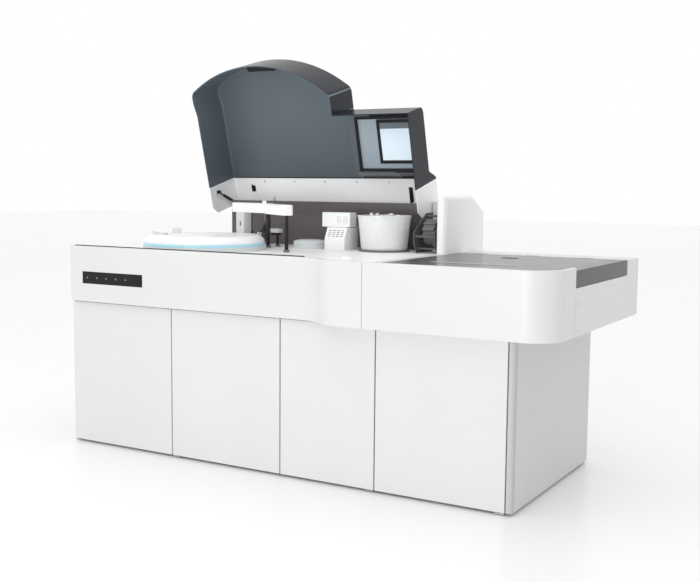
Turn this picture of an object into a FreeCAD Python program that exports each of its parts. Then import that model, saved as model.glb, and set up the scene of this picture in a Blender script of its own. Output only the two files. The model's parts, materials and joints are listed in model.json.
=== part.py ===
import FreeCAD, Part
import math
import os
import Sketcher

# Chemiluminescence immunoassay analyzer: a floor cabinet, an upper module with an S-bent fascia, a sampler
# wing on the right and a smoked lid that stands open. Millimetres, +Z up. Pieces are laid out in a bench
# frame: x runs right from the cabinet's left side, y runs back from the door fronts, z up from the floor.
# Each piece is then placed so that the origin lies below the middle of the whole machine.

SIZES = (
    # cabinet
    ("cabinet_length", 2140), ("cabinet_depth", 886), ("cabinet_top", 652), ("ground_gap", 10),
    ("door_one_width", 576), ("door_two_width", 562), ("door_three_width", 437),
    ("door_thickness", 22), ("door_gap", 5), ("door_hinge_inset", 9), ("door_edge_radius", 3),
    ("door_pin_radius", 4), ("panel_thickness", 20), ("corner_post_width", 25), ("tube_side", 30),
    ("floor_pan_thickness", 4), ("floor_pan_height", 34), ("foot_radius", 24), ("foot_stem_radius", 6),
    ("foot_pad_height", 12), ("foot_inset", 60), ("foot_rows", 4),
    ("louvre_length", 260), ("louvre_pitch", 24), ("louvre_height", 10), ("louvre_low", 420),
    ("tank_width", 380), ("tank_depth", 560), ("tank_height", 430), ("tank_neck", 34),
    ("tank_front", 120), ("tank_inset", 94), ("bin_front", 70), ("bin_rear", 560), ("bin_height", 300),
    ("bin_wall", 4), ("bin_inset", 50), ("unit_width", 400), ("unit_front", 90), ("unit_rear", 640),
    ("unit_height", 220), ("fan_radius", 60), ("pump_radius", 54), ("pump_length", 260),
    # upper module
    ("module_left", 5), ("machine_length", 2316), ("module_split", 1575), ("module_top", 900),
    ("module_rear", 1042), ("fascia_front", -23.6), ("wing_front", -109.5), ("wing_rear", 946),
    ("wing_side_split", 112), ("wing_corner_radius", 118), ("bend_start", 1250), ("bend_end", 1480),
    ("bend_turn", 41), ("bend_radius", 150), ("fascia_wall", 18), ("fascia_end_radius", 20), ("seam", 2),
    ("chassis_thickness", 16), ("cover_thickness", 16),
    # deck
    ("deck_top", 885), ("deck_thickness", 15), ("deck_margin", 4), ("ledge_depth", 34),
    ("ledge_height", 3.5), ("support_radius", 16), ("support_inset", 84), ("latch_length", 36),
    ("latch_height", 5), ("latch_one", 300), ("latch_two", 1060),
    # indicator strip
    ("strip_start", 88), ("strip_end", 437), ("strip_low", 733), ("strip_high", 787), ("strip_depth", 4),
    ("strip_recess", 3), ("button_width", 34), ("button_height", 30), ("button_travel", 2.5),
    # reagent carousel
    ("carousel_x", 492), ("carousel_y", 344), ("ring_radius", 276), ("ring_width", 16),
    ("ring_low", 904), ("ring_thickness", 14), ("tub_wall", 5), ("tub_bottom", 735),
    ("cover_radius", 271), ("cover_disc_radius", 250), ("cover_shoulder", 934), ("cover_top", 951),
    ("rotor_radius", 240), ("rotor_plate", 6), ("rotor_rim", 3), ("rotor_hub_radius", 46),
    ("motor_radius", 52), ("rotor_shaft_radius", 14),
    ("pack_inner", 128), ("pack_outer", 232), ("pack_width", 26), ("pack_top", 897),
    ("pack_count", 25), ("port_radius", 8), ("port_turn", 170.4), ("grip_length", 62),
    ("grip_width", 18), ("grip_height", 22), ("grip_turn", 168),
    # pipetting arms
    ("shaft_radius", 8.5), ("collar_radius", 14), ("collar_height", 11), ("arm_low", 1047),
    ("arm_height", 46), ("arm_width", 52), ("arm_tip_width", 40), ("needle_radius", 1.5),
    ("arm_a_x", 921), ("arm_a_y", 371.5), ("arm_a_length", 248), ("arm_a_turn", 143),
    ("needle_a_reach", 223), ("needle_a_tip", 959),
    ("arm_b_x", 664), ("arm_b_y", 600), ("arm_b_length", 276), ("arm_b_turn", 161),
    ("needle_b_reach", 127), ("needle_b_tip", 893), ("probe_box_reach", 200), ("probe_box_length", 60),
    ("probe_box_width", 36), ("probe_box_low", 940), ("arm_b_swing", 45),
    ("well_radius", 9), ("well_depth", 70), ("carriage_low", 722), ("carriage_height", 40),
    ("carriage_width", 70), ("guide_radius", 7), ("guide_offset", 44), ("guide_a_turn", -60),
    ("guide_b_turn", 56),
    ("pin_fit", 0.05),
    # small mixer arm
    ("mixer_x", 650), ("mixer_y", 700), ("mixer_post_radius", 6), ("mixer_low", 941),
    ("mixer_height", 26), ("mixer_length", 46), ("mixer_width", 30),
    # round housing and dispenser
    ("incubator_x", 835), ("incubator_y", 700), ("incubator_radius", 78), ("incubator_height", 37),
    ("dispenser_x", 962), ("dispenser_y", 650), ("dispenser_width", 76), ("dispenser_depth", 150),
    ("dispenser_height", 104), ("dispenser_slope", 34), ("pump_head_x", 905), ("pump_head_y", 692),
    ("pump_head_width", 150), ("pump_head_depth", 64), ("pump_head_height", 66), ("nozzle_radius", 15),
    ("nozzle_height", 56),
    # cuvette hopper and loader
    ("hopper_x", 1226), ("hopper_y", 710), ("hopper_top", 1047), ("hopper_top_radius", 120),
    ("hopper_base_radius", 104), ("hopper_wall", 3), ("hopper_lip", 3), ("hopper_seat_height", 10),
    ("loader_x", 1398), ("loader_y", 660), ("loader_width", 104), ("loader_depth", 190),
    ("loader_top", 1060), ("loader_plate", 4), ("wheel_rise", 92), ("wheel_radius", 58),
    ("wheel_pocket_radius", 9), ("spindle_radius", 5),
    # tower and back
    ("tower_left", 1525), ("tower_front", 616), ("tower_top", 1144), ("tower_chamfer_start", 904),
    ("tower_chamfer_low", 1073), ("tower_nose_radius", 24), ("back_left", 242), ("back_right", 1331),
    ("back_front", 885), ("back_sheet", 4), ("back_top", 1055), ("loader_bay_left", 1374),
    ("bay_wall_top", 1110),
    # lid
    ("lid_left", 205), ("lid_right", 1365), ("lid_open", 75), ("hinge_y", 851), ("hinge_z", 934),
    ("rim_drop", 44), ("lid_wall", 4), ("lid_front_radius", 635), ("lid_arc_x", 565),
    ("arc_left_turn", 31), ("arc_right_turn", 35), ("lid_corner_radius", 40), ("lid_reach", 836),
    ("lid_height", 214), ("lid_round", 16), ("lid_step_x", 978), ("lid_step_reach", 595),
    ("hood_height", 150), ("hood_round", 30), ("ridge_start", 296), ("ridge_end", 256),
    ("frame_reach", 246), ("frame_start", 124), ("frame_sheet", 3), ("cheek_start", 108),
    ("cheek_cut", 34), ("flare_width", 12), ("flare_start", 605), ("flare_end", 670),
    ("hatch_left", 1008), ("hatch_right", 1346), ("hatch_near", 298), ("hatch_far", 556),
    ("hatch_frame_width", 12), ("hatch_sheet", 4),
    ("hinge_arm_sheet", 6), ("hinge_arm_left", 441), ("hinge_arm_right", 1337), ("hinge_eye", 15),
    ("hinge_pin_radius", 6), ("handle_width", 140), ("handle_depth", 34),
    ("handle_low", 66), ("handle_high", 108),
    # gas springs
    ("spring_left", 228), ("spring_right", 1352), ("spring_tube_radius", 7.5), ("spring_rod_radius", 4),
    ("stud_reach", 212), ("stud_drop", 1), ("anchor_y", 1030), ("anchor_z", 1052), ("spring_eye", 8),
    ("spring_tube_length", 200),
    # sampler
    ("sampler_top", 890), ("sampler_sheet", 4), ("sampler_left", 1584), ("sampler_rear", 768),
    ("skirt_low", 829), ("track_count", 5), ("track_width", 26),
    ("rack_length", 170), ("tray_height", 815),
    # rear
    ("inlet_x", 300), ("inlet_z", 160), ("inlet_width", 48), ("inlet_height", 30),
)

doc = FreeCAD.newDocument("Analyzer")
sheet = doc.addObject("Spreadsheet::Sheet", "Sizes")


class Value:
    """A number together with the expression that the document keeps for it."""

    def __init__(self, number, text):
        self.number = float(number)
        self.text = text

    def __add__(self, other):
        other = as_value(other)
        return Value(self.number + other.number, "(%s + %s)" % (self.text, other.text))

    def __sub__(self, other):
        other = as_value(other)
        return Value(self.number - other.number, "(%s - %s)" % (self.text, other.text))

    def __mul__(self, other):
        other = as_value(other)
        return Value(self.number * other.number, "(%s * %s)" % (self.text, other.text))

    def __truediv__(self, other):
        other = as_value(other)
        return Value(self.number / other.number, "(%s / %s)" % (self.text, other.text))

    def __neg__(self):
        return Value(-self.number, "(0 - %s)" % self.text)

    __radd__ = __add__
    __rmul__ = __mul__

    def __rsub__(self, other):
        return as_value(other) - self


def as_value(item):
    if isinstance(item, Value):
        return item
    return Value(item, "%.6f" % item)


def sine(angle):
    return Value(math.sin(math.radians(angle.number)), "sin(%s)" % angle.text)


def cosine(angle):
    return Value(math.cos(math.radians(angle.number)), "cos(%s)" % angle.text)


def tangent(angle):
    return Value(math.tan(math.radians(angle.number)), "tan(%s)" % angle.text)


def bearing(across, along):
    """The angle in degrees of a direction given by its two legs."""
    number = math.degrees(math.atan2(across.number, along.number))
    return Value(number, "(atan2(%s; %s) / 1deg)" % (across.text, along.text))


class Sizes:
    """Every alias of the sheet as a Value."""


S = Sizes()
for row, (alias, number) in enumerate(SIZES, start=1):
    sheet.set("A%d" % row, alias.replace("_", " "))
    sheet.set("B%d" % row, repr(float(number)))
    sheet.setAlias("B%d" % row, alias)
    setattr(S, alias, Value(number, "Sizes." + alias))
doc.recompute()

# Places that several pieces share
ORIGIN_X = S.machine_length / 2
ORIGIN_Y = (S.module_rear + S.wing_front) / 2
DECK_LOW = S.deck_top - S.deck_thickness
CHASSIS_TOP = S.cabinet_top + S.chassis_thickness
MODULE_LOW = S.cabinet_top
DOOR_SEAMS = (
    as_value(0),
    S.door_one_width,
    S.door_one_width + S.door_two_width,
    S.door_one_width + S.door_two_width + S.door_three_width,
    S.cabinet_length - S.corner_post_width,
)
DOOR_TOP = S.cabinet_top - 6
FRAME_FRONT = S.door_thickness + 6
FRAME_REAR = S.cabinet_depth - S.panel_thickness
PAN_TOP = S.floor_pan_height + S.floor_pan_thickness

parts = {}


def label(obj, name):
    """Names a finished piece; its file takes the same name."""
    obj.Label = name
    parts[name] = obj
    return obj


def bind(obj, prop, value):
    obj.setExpression(prop, as_value(value).text)


def place(obj, x=0, y=0, z=0, axis=None, turn=0):
    """Puts an object at a point, turned about an axis through that point."""
    x, y, z, turn = as_value(x), as_value(y), as_value(z), as_value(turn)
    rotation = FreeCAD.Rotation()
    if axis:
        rotation = FreeCAD.Rotation(FreeCAD.Vector(*axis), turn.number)
    obj.Placement = FreeCAD.Placement(FreeCAD.Vector(x.number, y.number, z.number), rotation)
    bind(obj, "Placement.Base.x", x)
    bind(obj, "Placement.Base.y", y)
    bind(obj, "Placement.Base.z", z)
    if axis:
        bind(obj, "Placement.Rotation.Angle", turn)
    return obj


X_AXIS, Y_AXIS, Z_AXIS = (1, 0, 0), (0, 1, 0), (0, 0, 1)


def on_bench(obj, name, x=0, y=0, z=0, axis=None, turn=0):
    """Finishes a piece whose own zero lies at a point of the bench frame."""
    place(obj, as_value(x) - ORIGIN_X, as_value(y) - ORIGIN_Y, z, axis, turn)
    return label(obj, name)


def on_lid(obj, name):
    """Finishes a piece drawn with the lid closed and its zero on the hinge axis."""
    place(obj, -ORIGIN_X, S.hinge_y - ORIGIN_Y, S.hinge_z, X_AXIS, -S.lid_open)
    return label(obj, name)


def box(x_low, y_low, z_low, x_high, y_high, z_high):
    obj = doc.addObject("Part::Box", "Box")
    bind(obj, "Length", as_value(x_high) - x_low)
    bind(obj, "Width", as_value(y_high) - y_low)
    bind(obj, "Height", as_value(z_high) - z_low)
    return place(obj, x_low, y_low, z_low)


def rod(x, y, z, radius, length, along="z"):
    """A round bar that starts at a point and runs along an axis."""
    obj = doc.addObject("Part::Cylinder", "Rod")
    bind(obj, "Radius", radius)
    bind(obj, "Height", length)
    if along == "x":
        return place(obj, x, y, z, Y_AXIS, 90)
    if along == "y":
        return place(obj, x, y, z, X_AXIS, -90)
    return place(obj, x, y, z)


def fuse(*shapes):
    obj = doc.addObject("Part::MultiFuse", "Fuse")
    obj.Shapes = list(shapes)
    return obj


def common(*shapes):
    obj = doc.addObject("Part::MultiCommon", "Common")
    obj.Shapes = list(shapes)
    return obj


def cut(base, *tools):
    obj = doc.addObject("Part::Cut", "Cut")
    obj.Base = base
    obj.Tool = tools[0] if len(tools) == 1 else fuse(*tools)
    return obj


def group(*shapes):
    """Separate solids that share one node."""
    obj = doc.addObject("Part::Compound", "Group")
    obj.Links = list(shapes)
    return obj


def tube(x, y, z, outer, inner, length, along="z"):
    return cut(rod(x, y, z, outer, length, along), rod(x, y, z, inner, length, along))


def corner_points(corners):
    """For each corner: its point and the two points where its rounding starts and ends."""
    points = [FreeCAD.Vector(as_value(c[0]).number, as_value(c[1]).number, 0) for c in corners]
    rounded = []
    for index, point in enumerate(points):
        radius = as_value(corners[index][2]).number if len(corners[index]) > 2 else 0.0
        back = (points[index - 1] - point).normalize()
        ahead = (points[(index + 1) % len(points)] - point).normalize()
        half = back.getAngle(ahead) / 2
        reach = radius / math.tan(half) if radius else 0.0
        middle = (back + ahead).normalize() if radius else back
        centre = point + middle * (radius / math.sin(half)) if radius else point
        rounded.append((point, point + back * reach, point + ahead * reach, centre, radius))
    return rounded


def draw(sketch, corners):
    """Draws a closed outline. A corner is (across, up) or (across, up, radius)."""
    rule = Sketcher.Constraint
    rounded = corner_points(corners)
    count = len(corners)
    lines = []
    for index in range(count):
        start = rounded[index][2]
        end = rounded[(index + 1) % count][1]
        lines.append(sketch.addGeometry(Part.LineSegment(start, end), False))
    for index, (point, entry, leave, centre, radius) in enumerate(rounded):
        before, after = lines[index - 1], lines[index]
        if radius:
            middle = centre + (point - centre).normalize() * radius
            arc = sketch.addGeometry(Part.Arc(entry, middle, leave), False)
            first = 1
            last = 2
            if sketch.getPoint(arc, 1).distanceToPoint(entry) > sketch.getPoint(arc, 2).distanceToPoint(entry):
                first, last = 2, 1
            mark = sketch.addGeometry(Part.Point(point), True)
            sketch.addConstraint(rule("Tangent", before, 2, arc, first))
            sketch.addConstraint(rule("Tangent", arc, last, after, 1))
            sketch.addConstraint(rule("PointOnObject", mark, 1, before))
            sketch.addConstraint(rule("PointOnObject", mark, 1, after))
            number = sketch.addConstraint(rule("Radius", arc, radius))
            sketch.setExpression("Constraints[%d]" % number, as_value(corners[index][2]).text)
            target = mark
        else:
            sketch.addConstraint(rule("Coincident", before, 2, after, 1))
            target = after
        for kind, size, place_number in (("DistanceX", corners[index][0], point.x),
                                         ("DistanceY", corners[index][1], point.y)):
            number = sketch.addConstraint(rule(kind, -1, 1, target, 1, place_number))
            sketch.setExpression("Constraints[%d]" % number, as_value(size).text)


def draw_circle(sketch, across, up, radius):
    rule = Sketcher.Constraint
    across, up, radius = as_value(across), as_value(up), as_value(radius)
    centre = FreeCAD.Vector(across.number, up.number, 0)
    ring = sketch.addGeometry(Part.Circle(centre, FreeCAD.Vector(0, 0, 1), radius.number), False)
    for kind, arguments, size in (("DistanceX", (-1, 1, ring, 3), across),
                                  ("DistanceY", (-1, 1, ring, 3), up),
                                  ("Radius", (ring,), radius)):
        number = sketch.addConstraint(rule(kind, *arguments, size.number))
        sketch.setExpression("Constraints[%d]" % number, size.text)


def new_sketch(body, plane, start, end):
    """A sketch on one of the body's planes, set so that a pad of it runs from start to end."""
    sketch = body.newObject("Sketcher::SketchObject", "Profile")
    support = [feature for feature in body.Origin.OriginFeatures if feature.Role == plane][0]
    sketch.AttachmentSupport = [(support, "")]
    sketch.MapMode = "FlatFace"
    offset = -as_value(end) if plane == "XZ_Plane" else as_value(start)
    sketch.AttachmentOffset = FreeCAD.Placement(FreeCAD.Vector(0, 0, offset.number), FreeCAD.Rotation())
    sketch.setExpression("AttachmentOffset.Base.z", offset.text)
    return sketch


def sketched(body, plane, outlines, start, end):
    sketch = new_sketch(body, plane, start, end)
    for outline in outlines:
        if outline[0] == "circle":
            draw_circle(sketch, *outline[1:])
        else:
            draw(sketch, outline)
    return sketch


def pad(plane, outline, start, end, body=None):
    """A body, or one more pad on it, whose outline runs from start to end across the plane."""
    body = body or doc.addObject("PartDesign::Body", "Piece")
    feature = body.newObject("PartDesign::Pad", "Pad")
    feature.Profile = sketched(body, plane, [outline], start, end)
    bind(feature, "Length", as_value(end) - start)
    body.Tip = feature
    return body


def pocket(body, plane, outlines, start, end):
    """Cuts outlines into a body from start to end across the plane."""
    doc.recompute()
    volume = body.Shape.Volume
    feature = body.newObject("PartDesign::Pocket", "Pocket")
    feature.Profile = sketched(body, plane, outlines, start, end)
    feature.Reversed = True
    bind(feature, "Length", as_value(end) - start)
    body.Tip = feature
    doc.recompute()
    if body.Shape.Volume >= volume - 1e-3:
        raise RuntimeError("a pocket cut nothing")
    return body


def revolve(outline):
    """A turned body: the outline lies in radius and height, and turns about the upright axis."""
    body = doc.addObject("PartDesign::Body", "Turned")
    sketch = sketched(body, "XZ_Plane", [outline], 0, 0)
    feature = body.newObject("PartDesign::Revolution", "Revolution")
    feature.Profile = sketch
    feature.ReferenceAxis = (sketch, ["V_Axis"])
    feature.Angle = 360
    body.Tip = feature
    return body


def round_edges(body, radius, wanted):
    """Rounds the edges that wanted picks by their middle point and direction."""
    doc.recompute()
    base = body.Tip
    names = []
    for number, edge in enumerate(base.Shape.Edges, start=1):
        middle = edge.valueAt((edge.FirstParameter + edge.LastParameter) / 2)
        heading = edge.tangentAt((edge.FirstParameter + edge.LastParameter) / 2)
        if wanted(middle, heading):
            names.append("Edge%d" % number)
    feature = body.newObject("PartDesign::Fillet", "Rounding")
    feature.Base = (base, names)
    bind(feature, "Radius", radius)
    body.Tip = feature
    return body


def rectangle(x_low, y_low, x_high, y_high, radius=None):
    corners = ((x_low, y_low), (x_high, y_low), (x_high, y_high), (x_low, y_high))
    if radius is None:
        return corners
    return tuple(corner + (radius,) for corner in corners)


# Cabinet

def make_feet():
    """Screw feet under the floor pan."""
    feet = []
    rows = int(S.foot_rows.number)
    pitch = (S.cabinet_length - S.foot_inset * 2) / (rows - 1)
    for index in range(rows):
        x = S.foot_inset + pitch * index
        for y in (S.foot_inset, S.cabinet_depth - S.foot_inset):
            disc = rod(x, y, 0, S.foot_radius, S.foot_pad_height)
            stem_length = S.floor_pan_height - S.foot_pad_height
            stem = rod(x, y, S.foot_pad_height, S.foot_stem_radius, stem_length)
            feet.append(fuse(disc, stem))
    on_bench(group(*feet), "levelling_feet")


def make_frame():
    """Floor pan, square posts, top rails and bay partitions, welded together."""
    inner_left = S.panel_thickness
    inner_right = S.cabinet_length - S.panel_thickness
    rail_low = S.cabinet_top - S.tube_side
    pan = box(inner_left, FRAME_FRONT, S.floor_pan_height, inner_right, FRAME_REAR, PAN_TOP)
    members = [pan]
    starts = [inner_left]
    starts += [seam - S.tube_side / 2 for seam in DOOR_SEAMS[1:4]]
    starts.append(inner_right - S.tube_side)
    for start in starts:
        for y in (FRAME_FRONT, FRAME_REAR - S.tube_side):
            members.append(box(start, y, PAN_TOP, start + S.tube_side, y + S.tube_side, S.cabinet_top))
        rear = FRAME_REAR - S.tube_side
        members.append(box(start, FRAME_FRONT + S.tube_side, rail_low, start + S.tube_side, rear,
                           S.cabinet_top))
    for y in (FRAME_FRONT, FRAME_REAR - S.tube_side):
        members.append(box(inner_left, y, rail_low, inner_right, y + S.tube_side, S.cabinet_top))
    for seam in DOOR_SEAMS[1:4]:
        members.append(box(seam - 2, FRAME_FRONT + 10, PAN_TOP, seam + 2, FRAME_REAR - 10, rail_low))
    on_bench(fuse(*members), "cabinet_frame")


def make_panels():
    """Side panels and the louvred rear panel."""
    left = box(0, S.door_thickness + 2, S.ground_gap, S.panel_thickness, S.cabinet_depth, S.cabinet_top)
    right = pad("XY_Plane", ((S.cabinet_length - S.panel_thickness, S.door_thickness + 2),
                             (S.cabinet_length, S.door_thickness + 2),
                             (S.cabinet_length, S.cabinet_depth, 8),
                             (S.cabinet_length - S.panel_thickness, S.cabinet_depth)),
                S.ground_gap, S.cabinet_top)
    rear_left = S.panel_thickness + 2
    rear_right = S.cabinet_length - S.panel_thickness - 2
    rear_front = S.cabinet_depth - S.panel_thickness
    rear = pad("XZ_Plane", rectangle(rear_left, S.ground_gap, rear_right, S.cabinet_top - 2),
               rear_front, S.cabinet_depth)
    slots = []
    for column in (DOOR_SEAMS[2] - S.louvre_length, DOOR_SEAMS[3] - S.louvre_length):
        for step in range(6):
            low = S.louvre_low + S.louvre_pitch * step
            slots.append(rectangle(column, low, column + S.louvre_length, low + S.louvre_height))
    pocket(rear, "XZ_Plane", slots, rear_front - 1, S.cabinet_depth + 1)
    inlet = rectangle(S.inlet_x - S.inlet_width / 2, S.inlet_z - S.inlet_height / 2,
                      S.inlet_x + S.inlet_width / 2, S.inlet_z + S.inlet_height / 2)
    pocket(rear, "XZ_Plane", [inlet], rear_front - 1, S.cabinet_depth + 1)
    on_bench(group(left, right, rear), "cabinet_panels")
    post = pad("XY_Plane", ((S.cabinet_length - S.corner_post_width + S.door_gap / 2, 0),
                            (S.cabinet_length, 0, 14),
                            (S.cabinet_length, S.door_thickness),
                            (S.cabinet_length - S.corner_post_width + S.door_gap / 2, S.door_thickness)),
               S.ground_gap, DOOR_TOP)
    lug = box(S.cabinet_length - S.panel_thickness, S.door_thickness, S.ground_gap,
              S.cabinet_length - 4, S.door_thickness + 2, DOOR_TOP)
    on_bench(fuse(post, lug), "corner_post")


def make_doors():
    """Four plain doors, each on an upper and a lower pivot pin."""
    pivots = []
    for number in range(4):
        left = DOOR_SEAMS[number] + S.door_gap / 2
        right = DOOR_SEAMS[number + 1] - S.door_gap / 2
        hinge = left + S.door_hinge_inset if number < 2 else right - S.door_hinge_inset
        door = pad("XY_Plane", rectangle(left, 0, right, S.door_thickness, S.door_edge_radius),
                   S.ground_gap, DOOR_TOP)
        bore = ("circle", hinge, S.door_hinge_inset, S.door_pin_radius + S.pin_fit)
        pocket(door, "XY_Plane", [bore], S.ground_gap - 1, S.ground_gap + 20)
        pocket(door, "XY_Plane", [bore], DOOR_TOP - 20, DOOR_TOP + 1)
        on_bench(door, "door_%d" % (number + 1))
        inward = 1 if number < 2 else -1
        ear = sorted((hinge - inward * 6.5, hinge + inward * 30), key=lambda size: size.number)
        leg = sorted((hinge + inward * 11, hinge + inward * 30), key=lambda size: size.number)
        pin_low = rod(hinge, S.door_hinge_inset, S.ground_gap - 3, S.door_pin_radius, 22)
        ear_low = box(ear[0], 2, S.ground_gap - 6, ear[1], FRAME_FRONT + 6, S.ground_gap - 3)
        leg_low = box(leg[0], FRAME_FRONT, S.ground_gap - 3, leg[1], FRAME_FRONT + 6, S.floor_pan_height)
        pivots.append(fuse(pin_low, ear_low, leg_low))
        pin_top = rod(hinge, S.door_hinge_inset, DOOR_TOP - 19, S.door_pin_radius, 22)
        ear_top = box(ear[0], 2, DOOR_TOP + 3, ear[1], S.door_thickness, S.cabinet_top)
        leg_top = box(leg[0], S.door_thickness, DOOR_TOP + 3, leg[1], FRAME_FRONT, S.cabinet_top)
        pivots.append(fuse(pin_top, ear_top, leg_top))
    on_bench(group(*pivots), "door_hinges")


def make_tank(x):
    """A blow-moulded tank with rounded edges, a neck and its cap."""
    y = S.tank_front
    shoulder = PAN_TOP + S.tank_height
    shell = pad("XY_Plane", rectangle(x, y, x + S.tank_width, y + S.tank_depth, 30), PAN_TOP, shoulder)
    neck_x = x + S.tank_width / 2
    neck_y = y + S.tank_depth * 0.3
    throat = rod(neck_x, neck_y, shoulder, S.tank_neck, 14)
    cap = rod(neck_x, neck_y, shoulder + 14, S.tank_neck + 6, 24)
    return fuse(shell, throat, cap)


def make_fluids():
    """Wash buffer and liquid waste tanks, the solid waste bin and the power unit."""
    on_bench(group(make_tank(S.tank_inset), make_tank(DOOR_SEAMS[1] + S.tank_inset)), "fluid_tanks")
    low = PAN_TOP
    wall = S.bin_wall
    x_low = DOOR_SEAMS[2] + S.bin_inset
    x_high = DOOR_SEAMS[3] - S.bin_inset
    y_low, y_high = S.bin_front, S.bin_rear
    outer = pad("XY_Plane", rectangle(x_low, y_low, x_high, y_high, 18), low, low + S.bin_height)
    space = rectangle(x_low + wall, y_low + wall, x_high - wall, y_high - wall, 14)
    pocket(outer, "XY_Plane", [space], low + wall, low + S.bin_height + 1)
    grip = rectangle(x_low + 110, low + S.bin_height - 60, x_high - 110, low + S.bin_height - 28, 12)
    pocket(outer, "XZ_Plane", [grip], y_low - 10, y_low + 10)
    on_bench(outer, "waste_bin")
    unit_x = DOOR_SEAMS[3] + 60
    front = S.unit_front
    unit_top = PAN_TOP + S.unit_height
    case = box(unit_x, front, PAN_TOP, unit_x + S.unit_width, S.unit_rear, unit_top)
    fan = tube(unit_x + 110, front - 10, PAN_TOP + S.unit_height / 2, S.fan_radius, S.fan_radius - 12, 10, "y")
    pump_x = unit_x + S.unit_width * 0.7
    saddle = S.pump_radius - 19
    pump = fuse(box(unit_x + 20, front + 30, unit_top, unit_x + S.unit_width * 0.45, front + 330,
                    unit_top + 110),
                box(pump_x - saddle, front + 60, unit_top, pump_x + saddle, front + 260, unit_top + 20),
                rod(pump_x, front + 30, unit_top + S.pump_radius + 8, S.pump_radius, S.pump_length, "y"))
    on_bench(fuse(case, fan, pump), "power_unit")
    inlet_left = S.inlet_x - S.inlet_width / 2
    inlet_low = S.inlet_z - S.inlet_height / 2
    rear = S.cabinet_depth
    shell = box(inlet_left, rear - 32, inlet_low, inlet_left + S.inlet_width, rear, inlet_low + S.inlet_height)
    flange = box(inlet_left - 8, rear, inlet_low - 8, inlet_left + S.inlet_width + 8, rear + 3,
                 inlet_low + S.inlet_height + 8)
    well = box(inlet_left + 6, rear - 26, inlet_low + 5, inlet_left + S.inlet_width - 6, rear + 4,
               inlet_low + S.inlet_height - 5)
    on_bench(cut(fuse(shell, flange), well), "power_inlet")


# Upper module

def bend_corners(inset):
    """The two corner points of the S-bend, for the outer face or one set in by a wall."""
    half = (S.fascia_front - S.wing_front) / 2
    middle = (S.bend_start + S.bend_end) / 2
    shift = half / tangent(S.bend_turn)
    lean = tangent(S.bend_turn / 2) * inset
    return middle - shift + lean, middle + shift + lean


def make_fascia():
    """The two front mouldings: one with the S-bend, one with the rounded corner."""
    wall = S.fascia_wall
    outer_a, outer_b = bend_corners(as_value(0))
    inner_a, inner_b = bend_corners(wall)
    split = S.module_split - S.seam / 2
    left = pad("XY_Plane", (
        (S.module_left, 60), (S.module_left, S.fascia_front, S.fascia_end_radius),
        (outer_a, S.fascia_front, S.bend_radius), (outer_b, S.wing_front, S.bend_radius),
        (split, S.wing_front), (split, S.wing_front + wall),
        (inner_b, S.wing_front + wall, S.bend_radius - wall),
        (inner_a, S.fascia_front + wall, S.bend_radius + wall),
        (S.module_left + wall, S.fascia_front + wall), (S.module_left + wall, 60)),
        MODULE_LOW, S.module_top)
    recess = rectangle(S.strip_start, S.strip_low, S.strip_end, S.strip_high)
    pocket(left, "XZ_Plane", [recess], S.fascia_front - 1, S.fascia_front + S.strip_recess)
    pocket(left, "XZ_Plane", [button_outline(0.6)], S.fascia_front, S.fascia_front + wall + 1)
    top = S.module_top.number
    front = S.fascia_front.number

    def front_rim(middle, heading):
        return abs(middle.z - top) < 0.1 and abs(heading.z) < 0.1 and middle.y < front + wall.number - 0.5
    round_edges(left, 3, front_rim)
    on_bench(left, "left_fascia")
    start = S.module_split + S.seam / 2
    right = pad("XY_Plane", (
        (start, S.wing_front), (S.machine_length, S.wing_front, S.wing_corner_radius),
        (S.machine_length, S.wing_side_split), (S.machine_length - wall, S.wing_side_split),
        (S.machine_length - wall, S.wing_front + wall, S.wing_corner_radius - wall),
        (start, S.wing_front + wall)), MODULE_LOW, S.module_top)
    round_edges(right, 3, lambda middle, heading: abs(middle.z - top) < 0.1 and abs(heading.z) < 0.1)
    on_bench(right, "right_fascia")


def button_outline(gap):
    middle_z = (S.strip_low + S.strip_high) / 2
    right = S.strip_end - 6
    return rectangle(right - S.button_width - gap, middle_z - S.button_height / 2 - gap,
                     right + gap, middle_z + S.button_height / 2 + gap, 4)


def make_indicator():
    """The dark strip with its fields, the switch behind it and the push button."""
    front = S.fascia_front + S.strip_recess - S.strip_depth
    strip = pad("XZ_Plane", rectangle(S.strip_start + 0.3, S.strip_low + 0.3, S.strip_end - 0.3,
                                      S.strip_high - 0.3), front, S.fascia_front + S.strip_recess)
    pocket(strip, "XZ_Plane", [button_outline(0.4)], front - 1, S.fascia_front + S.strip_recess + 1)
    inner = S.fascia_front + S.fascia_wall
    switch = pad("XZ_Plane", rectangle(S.strip_end - 60, S.strip_low - 4, S.strip_end + 10, S.strip_high + 4),
                 inner, inner + 20)
    on_bench(group(strip, switch), "indicator_strip")
    button = pad("XZ_Plane", button_outline(0), front - 1.5, inner - S.button_travel - 0.5)
    on_bench(button, "power_button")


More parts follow.
